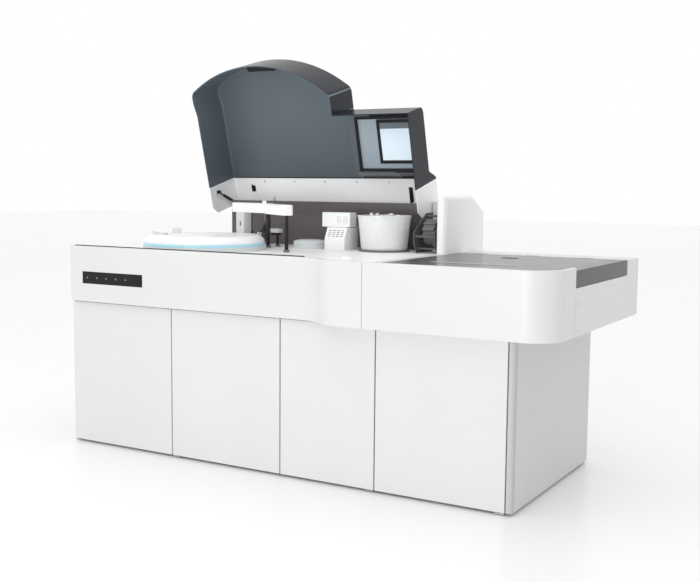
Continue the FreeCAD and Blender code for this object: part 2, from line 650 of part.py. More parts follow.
def make_covers():
    """Chassis plate with its deck posts, end, rear and side covers. Returns the sampler ledge."""
    gap = 2
    low = S.fascia_wall + gap
    inner_left = S.module_left + S.cover_thickness + gap
    split = S.module_split - S.cover_thickness
    wing_inner = S.wing_front + S.fascia_wall
    wing_right = S.machine_length - S.fascia_wall
    plate = pad("XY_Plane", (
        (inner_left + gap, S.fascia_front + low), (S.bend_start + 60, S.fascia_front + low),
        (S.bend_end + 20, wing_inner), (wing_right, wing_inner, S.wing_corner_radius - S.fascia_wall),
        (wing_right, S.wing_rear - low), (split - gap, S.wing_rear - low),
        (split - gap, S.module_rear - low), (inner_left + gap, S.module_rear - low)),
        MODULE_LOW, CHASSIS_TOP)
    posts = []
    thick = S.cover_thickness
    front_row = S.fascia_front + S.support_inset
    rear_row = S.module_rear - S.support_inset + thick
    left_row = S.module_left + S.support_inset - thick
    right_row = S.module_split - S.support_inset - thick
    ring_right = S.carousel_x + S.ring_radius
    for x, y in ((left_row, front_row), (left_row, rear_row), (S.carousel_x, rear_row),
                 (ring_right + S.support_inset * 2, front_row), (ring_right, rear_row),
                 (S.hopper_x, rear_row), (S.hopper_x, S.hopper_y - S.hopper_base_radius * 2),
                 (right_row, front_row), (right_row, S.tower_front), (right_row, rear_row)):
        posts.append(rod(x, y, CHASSIS_TOP, S.support_radius, DECK_LOW - CHASSIS_TOP))
    on_bench(fuse(plate, *posts), "chassis")
    end = box(S.module_left, 62, MODULE_LOW, S.module_left + thick, S.module_rear - thick - gap, S.deck_top)
    back = pad("XY_Plane", ((S.module_left, S.module_rear - thick), (split, S.module_rear - thick),
                            (split, S.wing_rear), (S.module_split, S.wing_rear),
                            (S.module_split, S.module_rear, 10), (S.module_left, S.module_rear, 10)),
               MODULE_LOW, S.deck_top)
    wing_back = box(S.module_split, S.wing_rear - thick, MODULE_LOW, S.machine_length - thick - gap,
                    S.wing_rear, S.deck_top - thick)
    on_bench(group(end, back, wing_back), "rear_covers")
    side_start = S.wing_side_split + S.seam
    side = pad("YZ_Plane", ((side_start, MODULE_LOW), (S.wing_rear, MODULE_LOW),
                            (S.wing_rear, S.deck_top - thick), (S.sampler_rear + 4, S.deck_top - thick),
                            (S.sampler_rear + 4, S.skirt_low - gap), (side_start, S.skirt_low - gap)),
               S.machine_length - thick, S.machine_length)
    round_edges(side, 10, lambda middle, heading: abs(heading.z) > 0.9 and
                middle.y > S.wing_rear.number - 1 and middle.x > S.machine_length.number - 1)
    on_bench(side, "sampler_side_cover")
    ledge = pad("XY_Plane", ((S.module_split + gap, S.sampler_rear + 8), (S.machine_length, S.sampler_rear + 8),
                             (S.machine_length, S.wing_rear, 10), (S.module_split + gap, S.wing_rear)),
                S.deck_top - thick, S.deck_top + 3)
    return ledge


def make_sampler(ledge):
    """Dark hinged cover with its skirt, the ledge it hinges on, and the tray with racks under it."""
    inner = S.machine_length - S.fascia_wall - 2
    front = S.wing_front + S.fascia_wall + 3
    top = S.sampler_top
    cover = pad("XY_Plane", ((S.sampler_left, front), (inner, front, S.wing_corner_radius - S.fascia_wall - 2),
                             (inner, S.wing_side_split + 2), (S.machine_length, S.wing_side_split + 2),
                             (S.machine_length, S.sampler_rear - 8), (S.sampler_left, S.sampler_rear - 8)),
                top - S.sampler_sheet, top)
    pad("XY_Plane", rectangle(S.machine_length - S.sampler_sheet, S.wing_side_split + 2, S.machine_length,
                              S.sampler_rear - 8), S.skirt_low, top - S.sampler_sheet, cover)
    hinge_z = top - S.sampler_sheet
    knuckles = []
    ears = []
    pitch = (inner - S.sampler_left) / 3
    for index in range(3):
        x = S.sampler_left + pitch * index + 60
        knuckles.append(rod(x, S.sampler_rear, hinge_z, 4.5, 60, "x"))
        knuckles.append(box(x, S.sampler_rear - 9, hinge_z, x + 60, S.sampler_rear, hinge_z + 4))
        ears.append(tube(x + 62, S.sampler_rear, hinge_z, 4, 2.01, 30, "x"))
        ears.append(box(x + 62, S.sampler_rear + 3.9, hinge_z - 3, x + 92, S.sampler_rear + 8, hinge_z + 1))
    pin_length = pitch * 2 + 152
    bore = rod(S.sampler_left + 58, S.sampler_rear, hinge_z, 2.05, pin_length, "x")
    on_bench(cut(fuse(cover, *knuckles), bore), "sampler_cover")
    tray_left = S.sampler_left + 6
    tray_right = inner - 30
    tray = pad("XY_Plane", rectangle(tray_left, 10, tray_right, S.sampler_rear - 40, 10),
               S.tray_height - 4, S.tray_height)
    lanes = []
    racks = []
    pitch = (tray_right - tray_left) / (S.track_count + 1)
    for index in range(int(S.track_count.number)):
        x = tray_left + pitch * (index + 1)
        for side in (-1, 1):
            wall_x = x + side * (S.track_width / 2 + 2) - 1
            lanes.append(box(wall_x, 30, S.tray_height, wall_x + 2, S.sampler_rear - 60, S.tray_height + 12))
        rack_x = x - S.track_width / 2 + 1
        racks.append(box(rack_x, 60, S.tray_height, rack_x + S.track_width - 2, 60 + S.rack_length,
                         S.tray_height + 44))
    stand = [box(tray_left + 20, 60, CHASSIS_TOP, tray_left + 60, 700, S.tray_height - 4),
             box(tray_right - 60, 60, CHASSIS_TOP, tray_right - 20, 700, S.tray_height - 4)]
    on_bench(group(fuse(tray, *lanes), *racks, *stand), "sampler_tray")
    pin = rod(S.sampler_left + 58, S.sampler_rear, hinge_z, 2, pin_length, "x")
    on_bench(group(ledge, *ears, pin), "sampler_ledge")


# Deck

def polar(x, y, reach, turn):
    """A point at a reach and a direction from another point."""
    return x + cosine(turn) * reach, y + sine(turn) * reach


WELL_TURNS = (S.arm_b_turn, S.arm_b_turn - S.arm_b_swing)


def make_deck():
    """The deck plate with its openings, its front ledge, latches and the trim at the sampler."""
    front = S.fascia_front + S.fascia_wall + S.deck_margin
    left = S.module_left + S.cover_thickness + 2
    deck = pad("XY_Plane", (
        (left, front), (S.bend_start + 60, front), (S.bend_end + 20, S.wing_front + S.fascia_wall + 4),
        (S.module_split - 4, S.wing_front + S.fascia_wall + 4),
        (S.module_split - 4, S.wing_rear - 4), (S.module_split - S.cover_thickness - 2, S.wing_rear - 4),
        (S.module_split - S.cover_thickness - 2, S.module_rear - S.cover_thickness - 2),
        (left, S.module_rear - S.cover_thickness - 2)), DECK_LOW, S.deck_top)
    openings = [("circle", S.carousel_x, S.carousel_y, S.ring_radius - 4),
                ("circle", S.arm_a_x, S.arm_a_y, S.collar_radius - 3),
                ("circle", S.arm_b_x, S.arm_b_y, S.collar_radius - 3),
                ("circle", S.mixer_x, S.mixer_y, S.mixer_post_radius + 2),
                ("circle", S.hopper_x, S.hopper_y, 60)]
    for turn in WELL_TURNS:
        x, y = polar(S.arm_b_x, S.arm_b_y, S.needle_b_reach, turn)
        openings.append(("circle", x, y, S.well_radius + 3))
    pocket(deck, "XY_Plane", openings, DECK_LOW - 1, S.deck_top + 1)
    on_bench(deck, "deck_plate")
    ledge_top = S.deck_top + S.ledge_height
    ledge = box(left + 4, front + 2, S.deck_top, S.bend_start + 40, front + 2 + S.ledge_depth, ledge_top)
    latches = []
    for x in (S.latch_one, S.latch_two):
        latches.append(box(x, front + 4, ledge_top, x + S.latch_length, front + 16,
                           ledge_top + S.latch_height))
    trim = pad("XY_Plane", ((S.module_split - 34, S.wing_front + S.fascia_wall + 6),
                            (S.sampler_left - 3, S.wing_front + S.fascia_wall + 6),
                            (S.sampler_left - 3, S.tower_front - 4), (S.module_split - 34, S.tower_front - 4)),
               S.deck_top, S.sampler_top)
    on_bench(group(ledge, *latches, trim), "deck_trim")


def make_bushings():
    """Shaft collars, needle wells and the seat ring of the hopper, all let into the deck."""
    pieces = []
    for x, y in ((S.arm_a_x, S.arm_a_y), (S.arm_b_x, S.arm_b_y)):
        stem = tube(x, y, DECK_LOW, S.collar_radius - 3, S.shaft_radius + S.pin_fit, S.deck_thickness)
        head = tube(x, y, S.deck_top, S.collar_radius, S.shaft_radius + S.pin_fit, S.collar_height)
        pieces.append(fuse(stem, head))
    x, y = S.mixer_x, S.mixer_y
    pieces.append(fuse(tube(x, y, DECK_LOW, S.mixer_post_radius + 2, S.mixer_post_radius + S.pin_fit,
                            S.deck_thickness),
                       tube(x, y, S.deck_top, 12, S.mixer_post_radius + S.pin_fit, 8)))
    for turn in WELL_TURNS:
        x, y = polar(S.arm_b_x, S.arm_b_y, S.needle_b_reach, turn)
        outer = rod(x, y, S.deck_top - S.well_depth, S.well_radius + 3, S.well_depth)
        pieces.append(cut(outer, rod(x, y, S.deck_top - S.well_depth + 3, S.well_radius, S.well_depth)))
    base = S.deck_top
    rim = base + S.hopper_seat_height
    seat = revolve(((60, base), (S.hopper_base_radius + 12, base), (S.hopper_base_radius + 12, base + 3),
                    (S.hopper_base_radius + 9, rim), (S.hopper_base_radius + 5, rim),
                    (S.hopper_base_radius + 5, base + 4), (60, base + 4)))
    pieces.append(place(seat, S.hopper_x, S.hopper_y))
    on_bench(group(*pieces), "deck_bushings")


def make_carousel():
    """Tub, light blue sealing ring, insulated cover with a grip, rotor with its reagent packs, drives."""
    wall = S.tub_wall
    ring_inner = S.ring_radius - S.ring_width
    tub_outer = S.ring_radius - 5
    bottom = S.tub_bottom
    shaft_bore = S.rotor_shaft_radius + S.pin_fit
    tub = revolve(((shaft_bore, bottom), (tub_outer, bottom), (tub_outer, S.deck_top),
                   (S.ring_radius + 3, S.deck_top), (S.ring_radius + 3, S.ring_low),
                   (tub_outer - wall, S.ring_low), (tub_outer - wall, bottom + wall),
                   (shaft_bore, bottom + wall)))
    on_bench(tub, "carousel_tub", S.carousel_x, S.carousel_y)
    ring_top = S.ring_low + S.ring_thickness
    ring = revolve(((ring_inner, S.ring_low), (S.ring_radius, S.ring_low), (S.ring_radius, ring_top, 4),
                    (ring_inner, ring_top)))
    on_bench(ring, "carousel_ring", S.carousel_x, S.carousel_y)
    cover = revolve(((0, ring_top), (S.cover_radius, ring_top), (S.cover_radius, S.cover_shoulder - 4, 6),
                     (S.cover_disc_radius, S.cover_top, 14), (0, S.cover_top)))
    port_x, port_y = polar(S.arm_a_x - S.carousel_x, S.arm_a_y - S.carousel_y, S.needle_a_reach, S.port_turn)
    pocket(cover, "XY_Plane", [("circle", port_x, port_y, S.port_radius)], ring_top - 1, S.cover_top + 1)
    grip = pad("XY_Plane", rectangle(S.cover_disc_radius - 26 - S.grip_width, -S.grip_length / 2,
                                     S.cover_disc_radius - 26, S.grip_length / 2, 7),
               S.cover_top, S.cover_top + S.grip_height)
    crest = S.cover_top.number + S.grip_height.number
    round_edges(grip, 6, lambda middle, heading: abs(middle.z - crest) < 0.1 and abs(heading.z) < 0.1)
    place(grip, 0, 0, 0, Z_AXIS, S.grip_turn)
    on_bench(fuse(cover, grip), "carousel_cover", S.carousel_x, S.carousel_y)
    plate_low = bottom + 25
    plate_top = plate_low + S.rotor_plate
    rim = S.rotor_rim
    rotor = revolve(((0, bottom - 3.7), (S.rotor_shaft_radius, bottom - 3.7),
                     (S.rotor_shaft_radius, bottom + wall + 0.5), (S.rotor_hub_radius, bottom + wall + 0.5),
                     (S.rotor_hub_radius, plate_low), (S.rotor_radius, plate_low),
                     (S.rotor_radius, plate_top + rim),
                     (S.pack_outer + rim, plate_top + rim), (S.pack_outer + rim, plate_top),
                     (S.pack_inner - rim, plate_top), (S.pack_inner - rim, plate_top + rim),
                     (0, plate_top + rim)))
    on_bench(rotor, "carousel_rotor", S.carousel_x, S.carousel_y)
    packs = []
    count = int(S.pack_count.number)
    for index in range(count):
        case = box(S.pack_inner, -S.pack_width / 2, plate_top, S.pack_outer, S.pack_width / 2,
                   S.pack_top - 8)
        cap = rod(S.pack_outer - 16, 0, S.pack_top - 8, 9, 8)
        pack = fuse(case, cap)
        packs.append(place(pack, 0, 0, 0, Z_AXIS, as_value(360.0 * index / count)))
    on_bench(group(*packs), "reagent_packs", S.carousel_x, S.carousel_y)
    motor = rod(S.carousel_x, S.carousel_y, CHASSIS_TOP, S.motor_radius, bottom - 4 - CHASSIS_TOP)
    guides = []
    for x, y, turn in ARM_GUIDES:
        guide_x, guide_y = polar(x, y, S.guide_offset, turn)
        guides.append(rod(guide_x, guide_y, CHASSIS_TOP, S.guide_radius, DECK_LOW - CHASSIS_TOP))
    on_bench(group(motor, *guides), "drive_units")


ARM_GUIDES = ((S.arm_a_x, S.arm_a_y, S.guide_a_turn), (S.arm_b_x, S.arm_b_y, S.guide_b_turn))


# Pipetting arms

def make_arm(prefix, x, y, length, turn, guide_turn):
    """Carriage, shaft and white cover of one arm. The cover is drawn along +X and turned into place."""
    half = S.carriage_width / 2 - 12
    carriage = box(-18, -half, S.carriage_low, S.guide_offset + 18, half, S.carriage_low + S.carriage_height)
    bores = (rod(0, 0, S.carriage_low, S.shaft_radius + S.pin_fit, S.carriage_height),
             rod(S.guide_offset, 0, S.carriage_low, S.guide_radius + S.pin_fit, S.carriage_height))
    on_bench(cut(carriage, *bores), prefix + "_carriage", x, y, 0, Z_AXIS, guide_turn)
    near = S.arm_width / 2
    tip = S.arm_tip_width / 2
    cover = pad("XY_Plane", ((-near, -near, near - 6), (length, -tip, 12), (length, tip, 12),
                             (-near, near, near - 6)), S.arm_low, S.arm_low + S.arm_height)
    crest = S.arm_low.number + S.arm_height.number
    round_edges(cover, 7, lambda middle, heading: abs(middle.z - crest) < 0.1 and abs(heading.z) < 0.1)
    on_bench(cover, prefix + "_cover", x, y, 0, Z_AXIS, turn)
    return rod(0, 0, S.carriage_low, S.shaft_radius, S.arm_low - S.carriage_low)


def make_arms():
    shaft = make_arm("arm_a", S.arm_a_x, S.arm_a_y, S.arm_a_length, S.arm_a_turn, ARM_GUIDES[0][2])
    needle = rod(S.needle_a_reach, 0, S.needle_a_tip, S.needle_radius, S.arm_low - S.needle_a_tip)
    on_bench(group(shaft, needle), "arm_a_shaft", S.arm_a_x, S.arm_a_y, 0, Z_AXIS, S.arm_a_turn)
    shaft = make_arm("arm_b", S.arm_b_x, S.arm_b_y, S.arm_b_length, S.arm_b_turn, ARM_GUIDES[1][2])
    needle = fuse(rod(S.needle_b_reach, 0, S.needle_b_tip, S.needle_radius, S.arm_low - S.needle_b_tip),
                  rod(S.needle_b_reach, 0, S.needle_b_tip + 55, 5, 12))
    low = S.probe_box_reach - S.probe_box_length / 2
    high = S.probe_box_reach + S.probe_box_length / 2
    guard = pad("XY_Plane", rectangle(low, -S.probe_box_width / 2, high, S.probe_box_width / 2, 4),
                S.probe_box_low, S.arm_low)
    on_bench(group(shaft, needle, guard), "arm_b_shaft", S.arm_b_x, S.arm_b_y, 0, Z_AXIS, S.arm_b_turn)
    post = rod(0, 0, DECK_LOW - 20, S.mixer_post_radius, S.mixer_low - DECK_LOW + 20)
    head = pad("XY_Plane", rectangle(-14, -S.mixer_width / 2, S.mixer_length - 14, S.mixer_width / 2, 8),
               S.mixer_low, S.mixer_low + S.mixer_height)
    on_bench(fuse(post, head), "mixer_arm", S.mixer_x, S.mixer_y, 0, Z_AXIS, as_value(180))


# Housings, hopper and loader on the deck

def make_housings():
    """Round incubator cover, dispenser base with the slanted front, and its pump head."""
    base = S.deck_top
    top = base + S.incubator_height
    cover = revolve(((0, base), (S.incubator_radius, base), (S.incubator_radius, top, 10),
                     (S.incubator_radius - 22, top), (S.incubator_radius - 24, top + 3), (0, top + 3)))
    on_bench(cover, "incubator_cover", S.incubator_x, S.incubator_y)
    front = S.dispenser_y
    crown = base + S.dispenser_height
    lower = pad("YZ_Plane", ((front, base), (front + S.dispenser_depth, base),
                             (front + S.dispenser_depth, crown),
                             (front + S.dispenser_slope, crown, 6), (front, base + S.dispenser_height / 2)),
                S.dispenser_x, S.dispenser_x + S.dispenser_width)
    on_bench(lower, "dispenser_base")
    head = pad("XY_Plane", rectangle(S.pump_head_x, S.pump_head_y, S.pump_head_x + S.pump_head_width,
                                     S.pump_head_y + S.pump_head_depth, 5),
               crown, crown + S.pump_head_height)
    nozzle_x = S.pump_head_x + S.nozzle_radius + 12
    nozzle_y = S.pump_head_y + S.pump_head_depth / 2
    nozzle = fuse(rod(nozzle_x, nozzle_y, crown - S.nozzle_height, S.nozzle_radius, S.nozzle_height),
                  rod(nozzle_x, nozzle_y, crown - S.nozzle_height - 18, 6, 18))
    on_bench(fuse(head, nozzle), "pump_head")


def make_hopper():
    """Tapered see-through bin for cuvettes with a rolled lip, standing in its seat ring."""
    base = S.deck_top + 4
    wall = S.hopper_wall
    bin_body = revolve(((0, base), (S.hopper_base_radius, base), (S.hopper_top_radius, S.hopper_top - 5),
                        (S.hopper_top_radius + S.hopper_lip, S.hopper_top - 5),
                        (S.hopper_top_radius + S.hopper_lip, S.hopper_top),
                        (S.hopper_top_radius - wall, S.hopper_top),
                        (S.hopper_base_radius - wall, base + wall), (0, base + wall)))
    on_bench(bin_body, "cuvette_hopper", S.hopper_x, S.hopper_y)


def make_loader():
    """Dark loader: two side plates with cross bars and a chute, and the pocket wheel between them."""
    base = S.deck_top
    left = S.loader_x
    right = S.loader_x + S.loader_width
    front = S.loader_y
    rear = S.loader_y + S.loader_depth
    wheel_y = (front + rear) / 2
    wheel_z = base + S.wheel_rise
    plates = []
    for x in (left, right - S.loader_plate):
        plate = pad("YZ_Plane", ((front + 26, base), (rear, base), (rear, S.loader_top),
                                 (rear - 66, S.loader_top, 12), (front, base + 96, 16), (front, base + 40, 8)),
                    x, x + S.loader_plate)
        plates.append(plate)
    for y, z in ((front + 40, base + 20), (rear - 14, base + 20), (rear - 14, S.loader_top - 14),
                 (rear - 58, S.loader_top - 14), (front + 12, base + 74)):
        plates.append(rod(left + 2, y, z, 5, S.loader_width - 4, "x"))
    bore = rod(left - 1, wheel_y, wheel_z, S.spindle_radius + S.pin_fit, S.loader_width + 2, "x")
    on_bench(cut(fuse(*plates), bore), "loader_frame")
    wheel = rod(left + 24, wheel_y, wheel_z, S.wheel_radius, S.loader_width - 48, "x")
    spindle = rod(left - 2, wheel_y, wheel_z, S.spindle_radius, S.loader_width + 4, "x")
    pockets = []
    for index in range(12):
        turn = as_value(30.0 * index)
        y, z = polar(wheel_y, wheel_z, S.wheel_radius, turn)
        pockets.append(rod(left + 23, y, z, S.wheel_pocket_radius, S.loader_width - 46, "x"))
    on_bench(fuse(cut(wheel, *pockets), spindle), "loader_wheel")


# Rear of the deck

def make_rear():
    """Tower wall at the sampler, dark back panel, the housings behind it and the lid's brackets."""
    base = S.deck_top
    wall = pad("YZ_Plane", ((S.tower_front, base), (S.module_rear, base),
                            (S.module_rear, S.tower_chamfer_low, 8),
                            (S.tower_chamfer_start, S.tower_top, 8), (S.tower_front, S.tower_top, 10)),
               S.tower_left, S.module_split)
    round_edges(wall, S.tower_nose_radius, lambda middle, heading: abs(heading.z) > 0.99 and
                middle.y < S.tower_front.number + 1)
    on_bench(wall, "tower_wall")
    sheet_rear = S.back_front + S.back_sheet
    panel = pad("XZ_Plane", rectangle(S.back_left, base, S.back_right, S.back_top), S.back_front, sheet_rear)
    slot_left = S.hinge_arm_left - 5
    slot_right = S.hinge_arm_left + S.hinge_arm_sheet + 5
    slot = rectangle(slot_left, S.hinge_z - 14, slot_right, S.back_top + 1)
    pocket(panel, "XZ_Plane", [slot], S.back_front - 1, sheet_rear + 1)
    on_bench(panel, "back_panel")
    shell = pad("YZ_Plane", ((sheet_rear, base), (S.module_rear, base), (S.module_rear, S.back_top - 45, 8),
                             (S.module_rear - 57, S.back_top, 8), (sheet_rear, S.back_top)),
                S.back_left, S.back_right)
    pocket(shell, "XZ_Plane", [slot], sheet_rear - 1, S.module_rear - 14)
    bay = pad("YZ_Plane", ((S.back_front + 20, base), (S.module_rear, base),
                           (S.module_rear, S.tower_chamfer_low - 34, 8),
                           (S.tower_chamfer_start + 20, S.bay_wall_top, 8),
                           (S.back_front + 20, S.bay_wall_top)), S.loader_bay_left, S.tower_left)
    on_bench(group(shell, bay), "rear_housings")
    brackets = []
    arm = S.hinge_arm_sheet
    ears = (S.hinge_arm_left - 9, S.hinge_arm_left + arm + 3, S.hinge_arm_right - 10)
    for x in ears:
        ear = pad("YZ_Plane", ((S.back_front, S.hinge_z - 34), (S.back_front, S.hinge_z + 12),
                               (S.hinge_y - 12, S.hinge_z + 12, 11), (S.hinge_y - 12, S.hinge_z - 12, 11)),
                  x, x + 6)
        pin_bore = rod(x - 1, S.hinge_y, S.hinge_z, S.hinge_pin_radius, 8, "x")
        brackets.append(cut(ear, pin_bore))
    brackets.append(rod(S.hinge_arm_left - 12, S.hinge_y, S.hinge_z, S.hinge_pin_radius, arm + 24, "x"))
    brackets.append(rod(S.hinge_arm_right - 13, S.hinge_y, S.hinge_z, S.hinge_pin_radius, arm + 16, "x"))
    stud_length = S.back_left - S.spring_left
    plate = box(S.back_left - 4, S.anchor_y - 24, S.anchor_z - 60, S.back_left, S.anchor_y + 8, S.anchor_z + 8)
    brackets.append(fuse(plate, rod(S.spring_left - 4, S.anchor_y, S.anchor_z, 4, stud_length, "x")))
    plate = box(S.loader_bay_left - 4, S.anchor_y - 24, S.anchor_z - 60, S.loader_bay_left, S.anchor_y + 8,
                S.anchor_z + 8)
    stud_length = S.loader_bay_left - S.spring_right + 2
    brackets.append(fuse(plate, rod(S.spring_right - 4, S.anchor_y, S.anchor_z, 4, stud_length, "x")))
    on_bench(group(*brackets), "lid_brackets")


# Lid, drawn closed with its zero on the hinge axis

SPARE = 40


def lid_outer(inset):
    """The lid's block, or the space inside it when inset by the wall."""
    hollow = inset.number > 0
    rim = -S.rim_drop - (SPARE if hollow else 0)
    roof = S.lid_height - S.rim_drop - inset
    rear_line = -S.frame_reach
    rear = rear_line + SPARE if hollow else rear_line
    left = S.lid_left + inset
    left_front = left - S.flare_width
    step = S.lid_step_x - inset
    radius = S.lid_front_radius - inset
    centre = S.lid_reach - S.lid_front_radius
    left_fall = (S.lid_arc_x - left_front) * tangent(S.arc_left_turn)
    right_fall = (step - S.lid_arc_x) * tangent(S.arc_right_turn)
    corner_left = centre + radius / cosine(S.arc_left_turn) - left_fall
    corner_right = centre + radius / cosine(S.arc_right_turn) - right_fall
    half = (S.arc_left_turn + S.arc_right_turn) / 2
    lean = (S.arc_right_turn - S.arc_left_turn) / 2
    crown_x = S.lid_arc_x + radius * sine(lean) / cosine(half)
    crown = centre + radius * cosine(lean) / cosine(half)
    corner_round = S.lid_corner_radius - inset
    deep = pad("XY_Plane", ((left, rear), (left, -S.flare_start), (left_front, -S.flare_end),
                            (left_front, -corner_left, corner_round), (crown_x, -crown, radius),
                            (step, -corner_right, corner_round), (step, rear)), rim, roof)
    level = roof.number
    back = rear.number
    round_edges(deep, S.lid_round - inset,
                lambda middle, heading: abs(middle.z - level) < 0.1 and middle.y < back - 1)
    hood = S.hood_height - S.rim_drop - inset
    low_left = S.lid_step_x - 2 - inset * 1.5
    low_front = -S.lid_step_reach + inset
    profile = [(rear, rim), (rear, roof)]
    profile += [(-S.ridge_end + inset, roof, 8), (-S.ridge_start + inset, hood, 10),
                (low_front, hood, S.hood_round - inset), (low_front, rim)]
    low = pad("YZ_Plane", profile, low_left, S.lid_right - inset)
    return fuse(deep, low)


def make_lid():
    wall = S.lid_wall
    hood = S.hood_height - S.rim_drop
    hatch_hole = box(S.hatch_left, -S.hatch_far, hood - SPARE, S.hatch_right, -S.hatch_near, hood + SPARE)
    on_lid(cut(lid_outer(as_value(0)), lid_outer(wall), hatch_hole), "lid_shell")
    rim = -S.rim_drop
    roof = S.lid_height - S.rim_drop
    sheet_size = S.frame_sheet
    reach = -S.frame_reach
    strip = box(S.lid_left, reach, roof - sheet_size, S.lid_right, -S.frame_start, roof)
    pieces = [strip]
    cheek = ((reach, rim), (-S.cheek_start - S.cheek_cut, rim), (-S.cheek_start, rim + S.cheek_cut),
             (-S.cheek_start, roof), (reach, roof))
    for x in (S.lid_left, S.lid_right - sheet_size):
        pieces.append(pad("YZ_Plane", cheek, x, x + sheet_size))
    stud = -S.stud_reach
    pieces.append(rod(S.lid_left + 1, stud, -S.stud_drop, 4, S.spring_left - S.lid_left - 6.5, "x"))
    pieces.append(rod(S.spring_right + 5.5, stud, -S.stud_drop, 4, S.lid_right - S.spring_right - 6.5, "x"))
    on_lid(fuse(*pieces), "lid_frame")
    arms = []
    under = roof - sheet_size
    knee = under - 55
    foot = -S.frame_start - 24
    for x in (S.hinge_arm_left, S.hinge_arm_right):
        web = pad("YZ_Plane", ((12, 9), (-45, knee + 16), (-S.frame_start + 6, under), (foot, under),
                               (foot, under - 9), (-72, knee), (-13, -7)), x, x + S.hinge_arm_sheet)
        eye = rod(x, 0, 0, S.hinge_eye, S.hinge_arm_sheet, "x")
        bore = rod(x - 1, 0, 0, S.hinge_pin_radius + S.pin_fit, S.hinge_arm_sheet + 2, "x")
        arms.append(cut(fuse(web, eye), bore))
    on_lid(group(*arms), "lid_hinge_arms")
    handle_x = S.lid_arc_x - S.handle_width / 2
    wall_reach = S.lid_reach - wall
    low = rim + S.handle_low
    high = rim + S.handle_high
    bar = pad("YZ_Plane", ((-wall_reach - wall, low), (-wall_reach - wall, high),
                           (-wall_reach + S.handle_depth, high, 4), (-wall_reach + S.handle_depth, low + 14, 8),
                           (-wall_reach + 10, low)), handle_x, handle_x + S.handle_width)
    inside = rod(S.lid_arc_x, S.lid_front_radius - S.lid_reach, low - 1, S.lid_front_radius - wall,
                 high - low + 2)
    handle = common(bar, inside)
    on_lid(handle, "lid_handle")
    make_hatch()


def make_hatch():
    """Frame round the loading hatch in the low part of the lid, and the hatch on its hinge rod."""
    roof = S.hood_height - S.rim_drop
    border = S.hatch_frame_width
    near, far = -S.hatch_near, -S.hatch_far
    frame = pad("XY_Plane", rectangle(S.hatch_left, far, S.hatch_right, near), roof - S.lid_wall - 6, roof)
    pocket(frame, "XY_Plane", [rectangle(S.hatch_left + border, far + border, S.hatch_right - border,
                                         near - border)], roof - S.lid_wall - 7, roof + 1)
    hinge_y = near - 5
    hinge_z = roof + 5
    ears = []
    for x in (S.hatch_left, S.hatch_right - 6):
        ears.append(box(x, hinge_y - 4, roof, x + 6, hinge_y + 4, hinge_z + 4))
    rod_piece = rod(S.hatch_left, hinge_y, hinge_z, 2, S.hatch_right - S.hatch_left, "x")
    on_lid(fuse(frame, *ears, rod_piece), "hatch_frame")
    flap_low = roof + 1
    left, right = S.hatch_left + 7, S.hatch_right - 7
    flap = box(left, far - 8, flap_low, right, hinge_y, flap_low + S.hatch_sheet)
    barrel = rod(left, hinge_y, hinge_z, 4, right - left, "x")
    lip = box(left + 30, far - 16, flap_low, right - 30, far - 8, flap_low + 12)
    bore = rod(left - 1, hinge_y, hinge_z, 2 + S.pin_fit, right - left + 2, "x")
    on_lid(cut(fuse(flap, barrel, lip), bore), "loading_hatch")


# Gas springs, drawn along +Y from the anchor

def make_springs():
    stud_y = S.hinge_y - cosine(S.lid_open) * S.stud_reach - sine(S.lid_open) * S.stud_drop
    stud_z = S.hinge_z + sine(S.lid_open) * S.stud_reach - cosine(S.lid_open) * S.stud_drop
    run, rise = stud_y - S.anchor_y, stud_z - S.anchor_z
    turn = bearing(rise, run)
    span = run / cosine(turn)
    for side, x in (("left", S.spring_left), ("right", S.spring_right)):
        eye_bore = rod(-6, 0, 0, 4 + S.pin_fit, 12, "x")
        eye = cut(rod(-4, 0, 0, S.spring_eye, 8, "x"), eye_bore)
        barrel = cut(rod(0, S.spring_eye - 1, 0, S.spring_tube_radius, S.spring_tube_length, "y"),
                     rod(0, S.spring_eye + 6, 0, S.spring_rod_radius + S.pin_fit, S.spring_tube_length, "y"))
        on_bench(fuse(eye, barrel), "spring_tube_" + side, x, S.anchor_y, S.anchor_z, X_AXIS, turn)
        plunger = rod(0, S.spring_eye + 12, 0, S.spring_rod_radius, span - S.spring_eye - 12, "y")
        ball = rod(-5, span, 0, 7, 10, "x")
        on_bench(fuse(plunger, ball), "spring_rod_" + side, x, S.anchor_y, S.anchor_z, X_AXIS, turn)


def build():
    make_feet()
    make_frame()
    make_panels()
    make_doors()
    make_fluids()
    make_fascia()
    make_indicator()
    make_sampler(make_covers())
    make_deck()
    make_bushings()
    make_carousel()
    make_arms()
    make_housings()
    make_hopper()
    make_loader()
    make_rear()
    make_lid()
    make_springs()
    doc.recompute()


def check_and_write():
    """Every object is sound, then each piece goes to its own file."""
    for obj in doc.Objects:
        if "Invalid" in obj.State or "Error" in obj.State:
            raise RuntimeError("%s failed: %s" % (obj.Label, obj.State))
    os.makedirs("parts", exist_ok=True)
    for name, obj in parts.items():
        shape = obj.Shape
        if shape.isNull() or not shape.isValid() or not shape.Solids:
            raise RuntimeError("%s has no sound shape" % name)
        shape.exportStep("parts/%s.step" % name)
    print("pieces", len(parts))


build()
check_and_write()
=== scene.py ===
"""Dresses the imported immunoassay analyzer: finishes, small pieces, stage, lights and camera."""

import json
import math
import random

import bmesh
import bpy
from mathutils import Matrix, Vector


